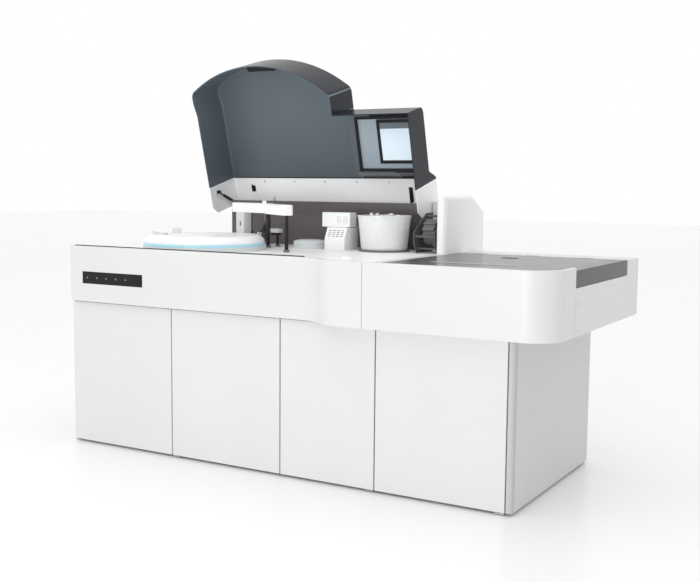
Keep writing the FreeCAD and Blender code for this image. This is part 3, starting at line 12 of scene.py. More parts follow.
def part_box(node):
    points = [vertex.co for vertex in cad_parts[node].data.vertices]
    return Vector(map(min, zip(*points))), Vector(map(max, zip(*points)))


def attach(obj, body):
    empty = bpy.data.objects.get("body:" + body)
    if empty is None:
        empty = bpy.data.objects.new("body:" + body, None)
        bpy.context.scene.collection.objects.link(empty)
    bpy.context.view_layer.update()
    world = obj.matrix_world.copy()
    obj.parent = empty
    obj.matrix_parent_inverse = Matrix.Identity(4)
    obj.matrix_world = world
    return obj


bl_info = {
    "name": "Immunoassay Analyzer Dresser",
    "version": (1, 0, 0),
    "blender": (4, 5, 0),
    "location": "3D View > Sidebar > Analyzer",
    "description": "Adds finishes and small pieces to a floor-standing immunoassay analyzer",
    "category": "Add Mesh",
}

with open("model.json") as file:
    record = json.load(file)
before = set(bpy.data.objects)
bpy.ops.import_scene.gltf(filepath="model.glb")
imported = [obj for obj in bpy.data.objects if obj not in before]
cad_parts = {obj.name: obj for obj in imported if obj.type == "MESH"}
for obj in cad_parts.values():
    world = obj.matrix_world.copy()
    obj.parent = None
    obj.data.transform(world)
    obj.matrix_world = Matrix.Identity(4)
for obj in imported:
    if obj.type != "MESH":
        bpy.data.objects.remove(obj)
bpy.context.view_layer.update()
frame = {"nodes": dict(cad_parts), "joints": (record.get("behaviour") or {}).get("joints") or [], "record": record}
NODES = frame["nodes"]
JOINTS = {joint["name"]: joint for joint in frame["joints"]}
MILLIMETRE = 0.001
IDENTITY = Matrix.Identity(4)

# Where the cabinet's left side and the door fronts lie from the row frame's middle, in millimetres
CABINET_MIDDLE = 1158
DOOR_FRONT = 466.25

# The lid is drawn closed about its hinge line and then swung open by this matrix
HINGE = Vector(JOINTS["lid_hinge"]["pos_m"])
LID_ANGLE = math.radians(JOINTS["lid_hinge"]["range_deg"][1])
LID_SWING = Matrix.Translation(Vector((0, HINGE.y, HINGE.z))) @ Matrix.Rotation(-LID_ANGLE, 4, "X")


# Sizes and colours that a user may change

class AnalyzerPaints(bpy.types.PropertyGroup):
    """Colours of the main finishes, in linear light."""

    panel: bpy.props.FloatVectorProperty(
        name="Panels", description="White of the doors and mouldings", subtype="COLOR",
        default=(0.67, 0.67, 0.673), min=0, max=1)
    metal: bpy.props.FloatVectorProperty(
        name="Metal", description="White of the painted metal frame under the lid", subtype="COLOR",
        default=(0.93, 0.93, 0.935), min=0, max=1)
    smoke: bpy.props.FloatVectorProperty(
        name="Smoked lid", description="Tint of the smoked lid", subtype="COLOR",
        default=(0.122, 0.148, 0.170), min=0, max=1)
    ring: bpy.props.FloatVectorProperty(
        name="Carousel ring", description="Light blue of the ring round the carousel", subtype="COLOR",
        default=(0.42, 0.70, 0.80), min=0, max=1)
    gloss: bpy.props.FloatVectorProperty(
        name="Sampler cover", description="Grey of the glossy sampler cover", subtype="COLOR",
        default=(0.085, 0.085, 0.09), min=0, max=1)


class AnalyzerSizes(bpy.types.PropertyGroup):
    """Sizes of the small pieces."""

    screw_radius: bpy.props.FloatProperty(
        name="Screw radius", description="Radius of the cover screws' heads", unit="LENGTH",
        default=0.0045, min=0.001, max=0.02)


# Materials

# Sockets of a colour mix node, which come after the ones for numbers and vectors
MIX_FACTOR, MIX_FIRST, MIX_SECOND, MIX_RESULT = 0, 6, 7, 2

# A noise node's level where it adds nothing
NOISE_MIDDLE = 0.5


class Signal:
    """One output of a shader node that can be used in sums."""

    def __init__(self, finish, socket):
        self.finish = finish
        self.socket = socket

    def join(self, operation, first, second):
        return self.finish.add("ShaderNodeMath", {"operation": operation}, (first, second))

    def __add__(self, other):
        return self.join("ADD", self, other)

    def __sub__(self, other):
        return self.join("SUBTRACT", self, other)

    def __rsub__(self, other):
        return self.join("SUBTRACT", other, self)

    def __mul__(self, other):
        return self.join("MULTIPLY", self, other)

    __radd__ = __add__


class Finish:
    """A material whose nodes are written as expressions."""

    def __init__(self, name):
        self.material = bpy.data.materials.new(name)
        self.material.use_nodes = True
        self.tree = self.material.node_tree
        self.tree.nodes.clear()
        self.surface = self.tree.nodes.new("ShaderNodeBsdfPrincipled")
        output = self.tree.nodes.new("ShaderNodeOutputMaterial")
        self.tree.links.new(self.surface.outputs[0], output.inputs[0])
        self.place = self.add("ShaderNodeTexCoord", output="Object")

    def add(self, kind, settings=None, inputs=(), output=0):
        node = self.tree.nodes.new(kind)
        for key, value in (settings or {}).items():
            setattr(node, key, value)
        pairs = inputs.items() if isinstance(inputs, dict) else enumerate(inputs)
        for key, value in pairs:
            self.feed(node.inputs[key], value)
        return Signal(self, node.outputs[output])

    def feed(self, socket, value):
        if isinstance(value, Signal):
            self.tree.links.new(value.socket, socket)
        else:
            socket.default_value = value

    def set(self, **values):
        for key, value in values.items():
            self.feed(self.surface.inputs[key.replace("_", " ")], value)

    def noise(self, scale, detail=2.0, roughness=0.5, stretch=(1, 1, 1)):
        place = self.place
        if tuple(stretch) != (1, 1, 1):
            place = self.add("ShaderNodeVectorMath", {"operation": "MULTIPLY"}, (self.place, stretch))
        return self.add("ShaderNodeTexNoise", None,
                        {"Vector": place, "Scale": scale, "Detail": detail, "Roughness": roughness})

    def along(self, axis, low, high):
        """0 to 1 between two places along an axis of the piece's own space."""
        parts = self.add("ShaderNodeSeparateXYZ", None, (self.place,), output="XYZ".index(axis))
        return self.add("ShaderNodeMapRange", None,
                        {"Value": parts, "From Min": low, "From Max": high}, output="Result")

    def mix(self, factor, first, second):
        node = self.tree.nodes.new("ShaderNodeMix")
        node.data_type = "RGBA"
        self.feed(node.inputs[MIX_FACTOR], factor)
        for index, value in ((MIX_FIRST, first), (MIX_SECOND, second)):
            self.feed(node.inputs[index], value if isinstance(value, Signal) else (*value, 1))
        return Signal(self, node.outputs[MIX_RESULT])

    def bump(self, height, strength, distance):
        normal = self.add("ShaderNodeBump", None,
                          {"Height": height, "Strength": strength, "Distance": distance})
        self.feed(self.surface.inputs["Normal"], normal)


def shade(colour, factor):
    return tuple(min(1.0, channel * factor) for channel in colour)


def painted(name, colour, roughness, grain=900, depth=0.06, mottle=0.03):
    """Sprayed or moulded surface with a fine orange peel and faint clouding."""
    finish = Finish(name)
    cloud = finish.noise(3.5, 3)
    finish.set(Base_Color=finish.mix(cloud, shade(colour, 1 - mottle), shade(colour, 1 + mottle)))
    finish.set(Roughness=roughness + (finish.noise(24, 2) - NOISE_MIDDLE) * 0.08)
    finish.bump(finish.noise(grain, 2), strength=depth, distance=0.0004)
    return finish


def plain_coat(finish, weight, roughness):
    finish.surface.inputs["Coat Weight"].default_value = weight
    finish.surface.inputs["Coat Roughness"].default_value = roughness
    return finish


def brushed(name, colour, roughness, along=(1, 1, 60)):
    """Bare metal with drawn or brushed lines across one axis."""
    finish = Finish(name)
    lines = finish.noise(14, 4, 0.7, along)
    finish.set(Base_Color=finish.mix(lines, shade(colour, 0.85), shade(colour, 1.12)))
    finish.set(Roughness=roughness + (lines - NOISE_MIDDLE) * 0.18)
    finish.surface.inputs["Metallic"].default_value = 1.0
    finish.bump(lines, strength=0.05, distance=0.0003)
    return finish


def make_materials():
    """Every finish, by the record's slot or by its own name."""
    paints = bpy.context.scene.analyzer_paints
    made = {}
    made["white_panel"] = plain_coat(painted("White Moulding", paints.panel, 0.38), 0.12, 0.25)
    made["light_grey"] = painted("Light Grey Moulding", (0.62, 0.64, 0.65), 0.42)
    made["white_metal"] = painted("White Painted Metal", paints.metal, 0.36, 1400, 0.05)
    made["frame_steel"] = brushed("Zinc Plated Steel", (0.55, 0.56, 0.57), 0.34)
    made["deck_sheet"] = painted("Deck Sheet", (0.95, 0.95, 0.94), 0.40, 1600, 0.05)
    made["dark_trim"] = painted("Dark Trim", (0.014, 0.013, 0.014), 0.32, 700, 0.05, 0.1)
    made["dark_sheet"] = painted("Dark Sheet Metal", (0.105, 0.092, 0.090), 0.45, 1200, 0.08, 0.12)
    made["shaft_black"] = painted("Black Oxide Shaft", (0.014, 0.011, 0.010), 0.28, 900, 0.04, 0.15)
    made["machinery"] = painted("Grey Machinery", (0.13, 0.13, 0.135), 0.5, 500, 0.15, 0.15)
    made["tank_plastic"] = painted("Tank Plastic", (0.74, 0.77, 0.76), 0.48, 300, 0.12)
    for name in ("dark_trim", "shaft_black"):
        made[name].surface.inputs["Specular IOR Level"].default_value = 0.2
    made["smoked_shell"] = smoked_finish(paints.smoke)
    made["blue_ring"] = plain_coat(painted("Light Blue Seal", paints.ring, 0.35), 0.2, 0.2)
    made["clear_bin"] = clear_finish()
    made["hatch_pane"] = pane_finish("Pale Smoked Hatch", (0.33, 0.40, 0.46), (0.44, 0.52, 0.58), 0.88)
    # The clear window's faint glow is painted light
    made["bright_pane"] = pane_finish("Clear Window", (0.86, 0.94, 1.0), (0.80, 0.92, 1.0), 0.75, 0.20)
    # The window band is a darker pane of painted shade
    made["hatch_band"] = pane_finish("Window Painted Shade", (0.15, 0.19, 0.22), (0.19, 0.23, 0.26), 0.95)
    made["cuvette_clear"] = painted("Clear Cuvette", (0.90, 0.91, 0.92), 0.30, 300, 0.03)
    made["light_window"] = painted("Light Window", (0.36, 0.36, 0.37), 0.35, 600, 0.03)
    made["cover_white"] = painted("White Cover", (0.88, 0.885, 0.895), 0.34)
    made["lamp_grey"] = painted("Lamp Lens", (0.20, 0.20, 0.21), 0.30, 800, 0.03)
    # Darker copies of the panel white for the side panel and the corner strip: painted shade
    made["side_panel_painted_shade"] = painted("White Side Panel Painted Shade", shade(paints.panel, 0.90), 0.42)
    made["post_strip_painted_shade"] = painted("White Corner Strip Painted Shade", shade(paints.panel, 0.72), 0.42)
    made["sampler_gloss"] = gloss_finish(paints.gloss)
    return made


def smoked_finish(tint):
    """Smoked plastic: painted shade makes it dark and plain outside, and painted light makes it lighter inside and
    lightest towards the front.
    """
    finish = Finish("Smoked Plastic")
    closed = LID_SWING.inverted()
    place = finish.add("ShaderNodeMapping", None, {
        "Vector": finish.place, "Location": closed.translation, "Rotation": closed.to_euler()})
    x, y, z = (finish.add("ShaderNodeSeparateXYZ", None, (place,), output=axis) for axis in range(3))

    def past(value, limit):
        return finish.add("ShaderNodeMath", {"operation": "GREATER_THAN"}, (value, limit))

    # The closed lid's outer faces, which get painted shade: the front's arc, the step to the hood, the right side
    # and the roof
    arc_x, arc_y, arc_radius = (565 - CABINET_MIDDLE) * MILLIMETRE, -0.201, 0.6332
    step_x, hood_reach = (976.4 - CABINET_MIDDLE) * MILLIMETRE, 0.590
    side_x, roof_z = (1362.9 - CABINET_MIDDLE) * MILLIMETRE, 0.1682
    outer_painted_shade = (0.020, 0.024, 0.030)
    reach = finish.add("ShaderNodeMath", {"operation": "SQRT"},
                       ((x - arc_x) * (x - arc_x) + (y - arc_y) * (y - arc_y),))
    wall = past(x, step_x) * past(0 - y, hood_reach)
    side = past(x, side_x)
    outside = finish.add("ShaderNodeMath", {"operation": "ADD", "use_clamp": True},
                         (past(reach, arc_radius) + past(z, roof_z), wall + side))
    # Painted light: the inside lightens towards the front
    rise = finish.add("ShaderNodeMapRange", None,
                      {"Value": 0 - y, "From Min": 0.25, "From Max": 0.80}, output="Result")
    cloud = finish.noise(2.2, 2) * 0.10
    inside = finish.mix(rise + cloud, shade(tint, 0.80), shade(tint, 1.35))
    finish.set(Base_Color=finish.mix(outside, inside, outer_painted_shade))
    finish.set(Roughness=0.20 + finish.noise(30, 2) * 0.05)
    finish.surface.inputs["Specular IOR Level"].default_value = 0.15
    finish.surface.inputs["Alpha"].default_value = 0.93
    return finish


def clear_finish():
    """Frosted clear plastic of the cuvette bin."""
    finish = Finish("Frosted Clear Plastic")
    cloud = finish.noise(9, 3)
    finish.set(Base_Color=finish.mix(cloud, (0.86, 0.87, 0.88), (0.95, 0.96, 0.97)))
    finish.set(Roughness=0.22 + cloud * 0.1)
    finish.set(Alpha=0.66 + cloud * 0.16)
    return finish


def pane_finish(name, low, high, alpha, painted_glow=0.0):
    """Pale blue plastic sheet that changes tone upwards, with a faint painted glow standing for the light through
    it.
    """
    finish = Finish(name)
    bottom, top = HINGE.z + 0.3, HINGE.z + 0.55
    rise = finish.along("Z", bottom, top)
    finish.set(Base_Color=finish.mix(rise, low, high))
    finish.set(Roughness=0.18 + finish.noise(20, 2) * 0.04)
    finish.surface.inputs["Alpha"].default_value = alpha
    finish.surface.inputs["Specular IOR Level"].default_value = 0.3
    finish.surface.inputs["Emission Color"].default_value = (*high, 1)
    finish.surface.inputs["Emission Strength"].default_value = painted_glow
    return finish


def gloss_finish(colour):
    """High gloss plate with very faint waves in its reflection, and painted shade darkening it towards its right
    end.
    """
    finish = Finish("Glossy Grey Plate")
    cloud = finish.noise(1.6, 2)
    plate = finish.mix(cloud, shade(colour, 0.9), shade(colour, 1.15))
    # Painted shade on the plate's right end
    rim_start, rim_end = 1.06, 1.14
    rim = finish.along("X", rim_start, rim_end)
    finish.set(Base_Color=finish.mix(rim, plate, shade(colour, 0.35)))
    finish.set(Roughness=0.22 + finish.noise(12, 2) * 0.06)
    finish.bump(finish.noise(4, 1), strength=0.03, distance=0.001)
    finish.surface.inputs["Specular IOR Level"].default_value = 0.30
    return finish


MATERIALS = {}

# Nodes that look different from the rest of their slot in the photograph
OTHER_FINISHES = {
    # The side panel and the corner strip take darker copies of the panel white as painted shade
    "cabinet_panels": "side_panel_painted_shade",
    "corner_post": "post_strip_painted_shade",
    "carousel_cover": "cover_white",
    "pump_head": "cover_white",
    "tower_wall": "cover_white",
    "arm_a_cover": "cover_white",
    "arm_b_cover": "cover_white",
    "spring_rod_left": "dark_trim",
    "spring_rod_right": "dark_trim",
}


def paint(obj, finish):
    obj.data.materials.clear()
    obj.data.materials.append(MATERIALS[finish].material)


class ANALYZER_OT_finishes(bpy.types.Operator):
    """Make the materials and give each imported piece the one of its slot"""
    bl_idname = "analyzer.finishes"
    bl_label = "Finishes"

    def execute(self, context):
        MATERIALS.update(make_materials())
        for entry in frame["record"]["subparts"]:
            node = entry["node"]
            paint(NODES[node], OTHER_FINISHES.get(node, entry["material_slot"]))
        return {"FINISHED"}


# Modelling steps that the operators share

# Least part of a face's normal that lies along an axis, for the face to look that way
SQUARE_ON = 0.9
SMOOTH_ANGLE = math.radians(40)


def begin(name, finish, kind, place, scale, turn=(0, 0, 0), **options):
    """Add a primitive at its size and place, in its finish, and open it for editing."""
    bpy.ops.object.select_all(action="DESELECT")
    getattr(bpy.ops.mesh, f"primitive_{kind}_add")(location=place, rotation=turn, **options)
    obj = bpy.context.active_object
    obj.name = name
    obj.scale = scale
    bpy.ops.object.transform_apply(location=True, rotation=True, scale=True)
    paint(obj, finish)
    obj["finish"] = finish
    bpy.ops.object.mode_set(mode="EDIT")
    bpy.ops.mesh.select_mode(type="FACE")
    return obj


def begin_block(name, finish, low, high):
    """A block between two corners, given in millimetres."""
    low, high = Vector(low) * MILLIMETRE, Vector(high) * MILLIMETRE
    low, high = Vector(map(min, low, high)), Vector(map(max, low, high))
    return begin(name, finish, "cube", (low + high) / 2, high - low, size=1)


def begin_disc(name, finish, centre, radius, height, axis="Z", sides=24):
    """A round block about an axis, given in millimetres."""
    turn = {"X": (0, math.pi / 2, 0), "Y": (math.pi / 2, 0, 0), "Z": (0, 0, 0)}[axis]
    return begin(name, finish, "cylinder", Vector(centre) * MILLIMETRE, (1, 1, 1), turn,
                 radius=radius * MILLIMETRE, depth=height * MILLIMETRE, vertices=sides)


def pick(obj, test):
    """Select the faces whose middle and normal pass the test."""
    mesh = bmesh.from_edit_mesh(obj.data)
    bpy.ops.mesh.select_all(action="DESELECT")
    for face in mesh.faces:
        face.select_set(bool(test(face.calc_center_median(), face.normal)))
    mesh.select_flush(True)
    bmesh.update_edit_mesh(obj.data)
    if not any(face.select for face in mesh.faces):
        raise RuntimeError(f"{obj.name}: no face was found to shape")


def facing(axis, sign):
    return lambda middle, normal: normal["XYZ".index(axis)] * sign > SQUARE_ON


def inset(amount, each=False):
    bpy.ops.mesh.inset(thickness=amount * MILLIMETRE, use_individual=each, use_even_offset=True)


def push(x=0, y=0, z=0):
    """Extrude what is selected, by millimetres."""
    move = (x * MILLIMETRE, y * MILLIMETRE, z * MILLIMETRE)
    bpy.ops.mesh.extrude_region_move(TRANSFORM_OT_translate={"value": move})


def shift(x=0, y=0, z=0):
    bpy.ops.transform.translate(value=(x * MILLIMETRE, y * MILLIMETRE, z * MILLIMETRE))


def second_finish(obj, finish):
    """Give the selected faces another finish."""
    obj.data.materials.append(MATERIALS[finish].material)
    obj.active_material_index = len(obj.data.materials) - 1
    bpy.ops.object.material_slot_assign()


def complete(obj, body, edge=0.0, swing=IDENTITY):
    """Round the edges, smooth, turn into place and hang the piece on its body."""
    bpy.ops.object.mode_set(mode="OBJECT")
    if edge:
        rounding = obj.modifiers.new("Rounding", "BEVEL")
        rounding.width = edge * MILLIMETRE
        rounding.segments = 2
        rounding.limit_method = "ANGLE"
        bpy.ops.object.modifier_apply(modifier=rounding.name)
    bpy.ops.object.shade_smooth_by_angle(angle=SMOOTH_ANGLE)
    obj.data.transform(swing)
    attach(obj, body)


def repeat(obj, name, move, body):
    """A copy with its own mesh, moved in its mesh by a matrix or by millimetres."""
    copy = bpy.data.objects.new(name, obj.data.copy())
    bpy.context.scene.collection.objects.link(copy)
    if not isinstance(move, Matrix):
        move = Matrix.Translation(Vector(move) * MILLIMETRE)
    copy.data.transform(move)
    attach(copy, body)


def row(x, y, z):
    """A point of the machine, measured from the cabinet's left and the door fronts, in the row frame."""
    return (x - CABINET_MIDDLE, y - DOOR_FRONT, z)


def lid_point(x, reach, height):
    """A point of the closed lid about its hinge line."""
    return (x - CABINET_MIDDLE, -reach, height)


# Pieces

class ANALYZER_OT_rear_baffle(bpy.types.Operator):
    """Folded dark sheet that carries the back panel up to the lid's frame"""
    bl_idname = "analyzer.rear_baffle"
    bl_label = "Rear baffle"

    # Name, left and right end of each length, with a slot between them
    lengths = (("rear_baffle_left", 242, 431), ("rear_baffle_right", 457, 1331))
    front, back = 883.4, 884.9
    bottom, top = 1040, 1100
    fold_thickness, fold_depth = 1.5, 14

    def execute(self, context):
        fold_line = (self.top - self.fold_thickness) * MILLIMETRE
        for name, left, right in self.lengths:
            low, high = row(left, self.front, self.bottom), row(right, self.back, self.top)
            sheet = begin_block(name, "dark_sheet", low, high)
            bpy.ops.mesh.select_all(action="SELECT")
            bpy.ops.mesh.bisect(plane_co=(0, 0, fold_line), plane_no=(0, 0, 1))
            pick(sheet, lambda middle, normal: normal.y > SQUARE_ON and middle.z > fold_line)
            push(y=self.fold_depth)
            complete(sheet, "cabinet", edge=0.3)
        return {"FINISHED"}


class ANALYZER_OT_deck_dark_strip(bpy.types.Operator):
    """Dark strip that stands between the deck's front edge and the fascia"""
    bl_idname = "analyzer.deck_seal"
    bl_label = "Deck dark strip"

    def execute(self, context):
        lip_height, lip_spread = 3.6, 1.6
        dark_strip = begin_block("deck_seal", "dark_trim", row(26, -4.9, 886), row(1256, -2.3, 900))
        pick(dark_strip, facing("Z", 1))
        push(z=lip_height)
        bpy.ops.transform.resize(value=(1, lip_spread, 1))
        complete(dark_strip, "cabinet", edge=0.5)
        return {"FINISHED"}


class ANALYZER_OT_deck_fill(bpy.types.Operator):
    """Sheet that closes the deck's front edge against the fascia's S-bend"""
    bl_idname = "analyzer.deck_fill"
    bl_label = "Deck fill"

    clearance = 0.4
    left, right, level = 1262, 1500, 884.6
    thickness, columns = 14, 18

    def execute(self, context):
        middle = Vector(row((self.left + self.right) / 2, 0, self.level)) * MILLIMETRE
        length = (self.right - self.left) * MILLIMETRE
        fill = begin("deck_fill", "deck_sheet", "grid", middle, (length, length, 1),
                     x_subdivisions=self.columns, y_subdivisions=1, size=1)
        bpy.ops.mesh.select_mode(type="VERT")
        for index in range(len(fill.data.vertices)):
            self.move_point(fill, index)
        bpy.ops.mesh.select_mode(type="FACE")
        bpy.ops.mesh.select_all(action="SELECT")
        push(z=-self.thickness)
        bpy.ops.mesh.select_all(action="SELECT")
        bpy.ops.mesh.normals_make_consistent(inside=False)
        complete(fill, "cabinet")
        return {"FINISHED"}

    def move_point(self, fill, index):
        """Carry one corner of the sheet to the deck's edge or to the fascia's inner face."""
        mesh = bmesh.from_edit_mesh(fill.data)
        mesh.verts.ensure_lookup_table()
        bpy.ops.mesh.select_all(action="DESELECT")
        point = mesh.verts[index]
        point.select_set(True)
        bmesh.update_edit_mesh(fill.data)
        across = point.co.x / MILLIMETRE + CABINET_MIDDLE
        now = point.co.y / MILLIMETRE + DOOR_FRONT
        goal = self.deck_edge(across) if now > 0 else self.fascia_inside(across)
        shift(y=goal - now)

    def deck_edge(self, x):
        """Place of the deck's front edge, straight from its bend to the right."""
        start, end, near, far = 1310, 1500, -1.6, -87.5
        share = max(0.0, (x - start) / (end - start))
        return near + (far - near) * share - self.clearance

    def fascia_inside(self, x):
        """Place of the fascia's inner face: an arc, a slope and an arc the other way."""
        start, end, near, far = 1259.5, 1470.5, -5.6, -91.5
        wide, tight, turn = 168, 132, math.radians(41)
        slope_start, slope_end = start + wide * math.sin(turn), end - tight * math.sin(turn)
        if x < slope_start:
            line = near - wide + math.sqrt(wide ** 2 - max(0.0, x - start) ** 2)
        elif x < slope_end:
            line = near - wide * (1 - math.cos(turn)) - (x - slope_start) * math.tan(turn)
        else:
            line = far + tight - math.sqrt(tight ** 2 - max(0.0, end - x) ** 2)
        return line + self.clearance


class ANALYZER_OT_hatch_window(bpy.types.Operator):
    """Dark window frame and pale panes under the loading hatch"""
    bl_idname = "analyzer.hatch_window"
    bl_label = "Hatch window"

    # Name, nearest and furthest reach from the hinge line, and finish of each pane
    panes = (
        ("hatch_window_pane", 349.2, 497, "bright_pane"),
        # The band is a darker pane that paints the shade on the window's top
        ("hatch_window_band", 498, 524.8, "hatch_band"),
    )
    bar_width, bar_depth = 15, 5

    def execute(self, context):
        low, high = lid_point(1120, 540, 101), lid_point(1331, 334, 106.8)
        bars = begin_block("hatch_window_frame", "dark_trim", low, high)
        pick(bars, facing("Z", -1))
        inset(self.bar_width)
        push(z=self.bar_depth)
        complete(bars, "hatch", edge=0.6, swing=LID_SWING)
        for name, near, far, finish in self.panes:
            low, high = lid_point(1135.2, far, 102.5), lid_point(1315.8, near, 105.9)
            pane = begin_block(name, finish, low, high)
            pick(pane, facing("Z", -1))
            inset(2)
            push(z=-0.6)
            complete(pane, "hatch", edge=0.2, swing=LID_SWING)
        return {"FINISHED"}


class ANALYZER_OT_lid_latches(bpy.types.Operator):
    """Latch plate with its hook, bracket, seam and screws on the lid's white frame"""
    bl_idname = "analyzer.lid_latches"
    bl_label = "Lid latches"

    screw_count, screw_pitch = 5, 180

    def execute(self, context):
        self.make_fitting("lid_latch_plate", "white_metal", lid_point(306, 220, 165),
                          lid_point(350, 150, 167), border=4, lean=0, rise=-1.2, edge=0.6)
        self.make_fitting("lid_latch_hook", "dark_trim", lid_point(318, 206, 156),
                          lid_point(338, 176, 164), border=5, lean=-14, rise=-5, edge=1.0)
        self.make_fitting("lid_bracket_plate", "dark_trim", lid_point(1220, 204, 163.6),
                          lid_point(1240, 132, 167), border=5, lean=12, rise=-7, edge=0.8)
        self.make_fitting("lid_seam", "dark_trim", lid_point(208.2, 250, 164.4),
                          lid_point(1361.8, 245, 166.8), border=0.8, lean=0, rise=-0.6, edge=0.3)
        self.make_screws(context.scene.analyzer_sizes.screw_radius / MILLIMETRE)
        return {"FINISHED"}

    def make_fitting(self, name, finish, low, high, border, lean, rise, edge):
        """A block under the closed lid's frame, with a raised and shifted middle."""
        block = begin_block(name, finish, low, high)
        pick(block, facing("Z", -1))
        inset(border)
        push(y=lean, z=rise)
        complete(block, "lid", edge, LID_SWING)

    def make_screws(self, radius):
        first = begin_disc("lid_screw_1", "frame_steel", lid_point(400, 228, 166), radius, height=2)
        pick(first, facing("Z", -1))
        inset(radius * 0.4)
        push(z=0.8)
        complete(first, "lid", edge=0.3, swing=LID_SWING)
        for number in range(1, self.screw_count):
            step = Matrix.Translation(Vector((number * self.screw_pitch * MILLIMETRE, 0, 0)))
            repeat(first, f"lid_screw_{number + 1}", step, "lid")


class ANALYZER_OT_probe_guard(bpy.types.Operator):
    """White cover round the tall arm's probe guard, with its small dark window"""
    bl_idname = "analyzer.probe_guard"
    bl_label = "Probe guard"

    def execute(self, context):
        post, turn = Vector(row(664, 600, 0)) * MILLIMETRE, math.radians(161)
        swing = Matrix.Translation(post) @ Matrix.Rotation(turn, 4, "Z")
        low, high = (167.5, -20.5, 937), (232.5, 20.5, 1046.8)
        cover = begin_block("probe_guard_cover", "white_panel", low, high)
        pick(cover, facing("Y", 1))
        inset(5)
        push(y=-0.8)
        inset(18)
        bpy.ops.transform.resize(value=(0.5, 1, 0.34))
        push(y=-1.2)
        second_finish(cover, "dark_trim")
        complete(cover, "arm_b", edge=1.6, swing=swing)
        return {"FINISHED"}


class ANALYZER_OT_mixer_cap(bpy.types.Operator):
    """White cap over the mixing arm's head"""
    bl_idname = "analyzer.mixer_cap"
    bl_label = "Mixer cap"

    def execute(self, context):
        cap = begin_block("mixer_cap", "white_panel", row(614, 681, 951.5), row(668, 719, 966))
        pick(cap, facing("Z", 1))
        push(z=5)
        bpy.ops.transform.resize(value=(0.88, 0.84, 1))
        complete(cap, "mixer", edge=2.0)
        return {"FINISHED"}


class ANALYZER_OT_dispenser_housing(bpy.types.Operator):
    """Lower dispenser housing with a sloped, slotted front, and the slotted vents above it"""
    bl_idname = "analyzer.dispenser_housing"
    bl_label = "Dispenser housing"

    front, top = 642, 986
    slope_start, setback = 936, 26
    vent_pitch = 34

    def execute(self, context):
        low, high = row(950, self.front, 885.2), row(1056, 762, self.top)
        housing = begin_block("dispenser_housing", "cover_white", low, high)
        self.slope_front(housing)
        pick(housing, lambda middle, normal: normal.y < -0.5 and normal.z > 0.1)
        self.cut_slots(housing, border=9, bar=3, inward=1.5, drop=-1.0)
        complete(housing, "cabinet", edge=0.8)
        self.make_vents()
        return {"FINISHED"}

    def slope_front(self, housing):
        """Divide the front and set its upper edge back."""
        bpy.ops.mesh.select_all(action="SELECT")
        bpy.ops.mesh.bisect(plane_co=(0, 0, self.slope_start * MILLIMETRE), plane_no=(0, 0, 1))
        bpy.ops.mesh.select_mode(type="EDGE")
        mesh = bmesh.from_edit_mesh(housing.data)
        bpy.ops.mesh.select_all(action="DESELECT")
        above, before = (self.top - 1) * MILLIMETRE, (self.front - DOOR_FRONT + 1) * MILLIMETRE
        for edge in mesh.edges:
            edge.select_set(all(vertex.co.z > above and vertex.co.y < before for vertex in edge.verts))
        bmesh.update_edit_mesh(housing.data)
        shift(y=self.setback)
        bpy.ops.mesh.select_mode(type="FACE")

    def cut_slots(self, obj, border, bar, inward, drop):
        """Divide the selected face into sunk slots, painted dark as the shade inside them."""
        inset(border)
        bpy.ops.mesh.subdivide(number_cuts=3)
        inset(bar, each=True)
        push(y=inward, z=drop)
        # Painted shade: the slots' floors take the dark finish
        second_finish(obj, "machinery")

    def make_vents(self):
        low, high = row(984, 690.8, 1004), row(1013, 692, 1041)
        plate = begin_block("dispenser_vent_1", "cover_white", low, high)
        pick(plate, facing("Y", -1))
        self.cut_slots(plate, border=2, bar=2, inward=0.8, drop=0)
        complete(plate, "cabinet", edge=0.2)
        repeat(plate, "dispenser_vent_2", (self.vent_pitch, 0, 0), "cabinet")


class ANALYZER_OT_cuvettes(bpy.types.Operator):
    """Heap of clear cuvettes in the hopper"""
    bl_idname = "analyzer.cuvettes"
    bl_label = "Cuvette heap"

    # Height and reach of each layer; every second layer is shifted by half the pitch
    layers = ((962, 68), (996, 76), (1030, 70))
    pitch = 34
    half_width, half_length = 6, 16

    def execute(self, context):
        random.seed(7)
        places = self.heap_places()
        side, end = self.half_width, self.half_length
        first = begin_block("cuvette_1", "cuvette_clear", (-side, -side, -end), (side, side, end))
        pick(first, facing("Z", 1))
        push(z=2)
        bpy.ops.transform.resize(value=(1.25, 1.25, 1))
        inset(1.6)
        push(z=-26)
        complete(first, "cabinet", edge=0.5, swing=places[0])
        for number, place in enumerate(places[1:], 2):
            repeat(first, f"cuvette_{number}", place @ places[0].inverted(), "cabinet")
        return {"FINISHED"}

    def heap_places(self):
        """Places and turns of the cuvettes, in level layers over the hopper's middle."""
        places = []
        heap = Vector(row(1226, 710, 0))
        for layer, (level, reach) in enumerate(self.layers):
            offset = self.pitch / 2 if layer % 2 else 0
            for column in range(-3, 4):
                for line in range(-3, 4):
                    x, y = column * self.pitch + offset, line * self.pitch + offset
                    if math.hypot(x, y) > reach:
                        continue
                    place = heap + Vector((x, y, level + random.uniform(-2, 10)))
                    spin = Matrix.Rotation(random.uniform(0, math.tau), 4, "Z")
                    lean = Matrix.Rotation(random.uniform(-1.3, 1.3), 4, "X")
                    places.append(Matrix.Translation(place * MILLIMETRE) @ spin @ lean)
        return places


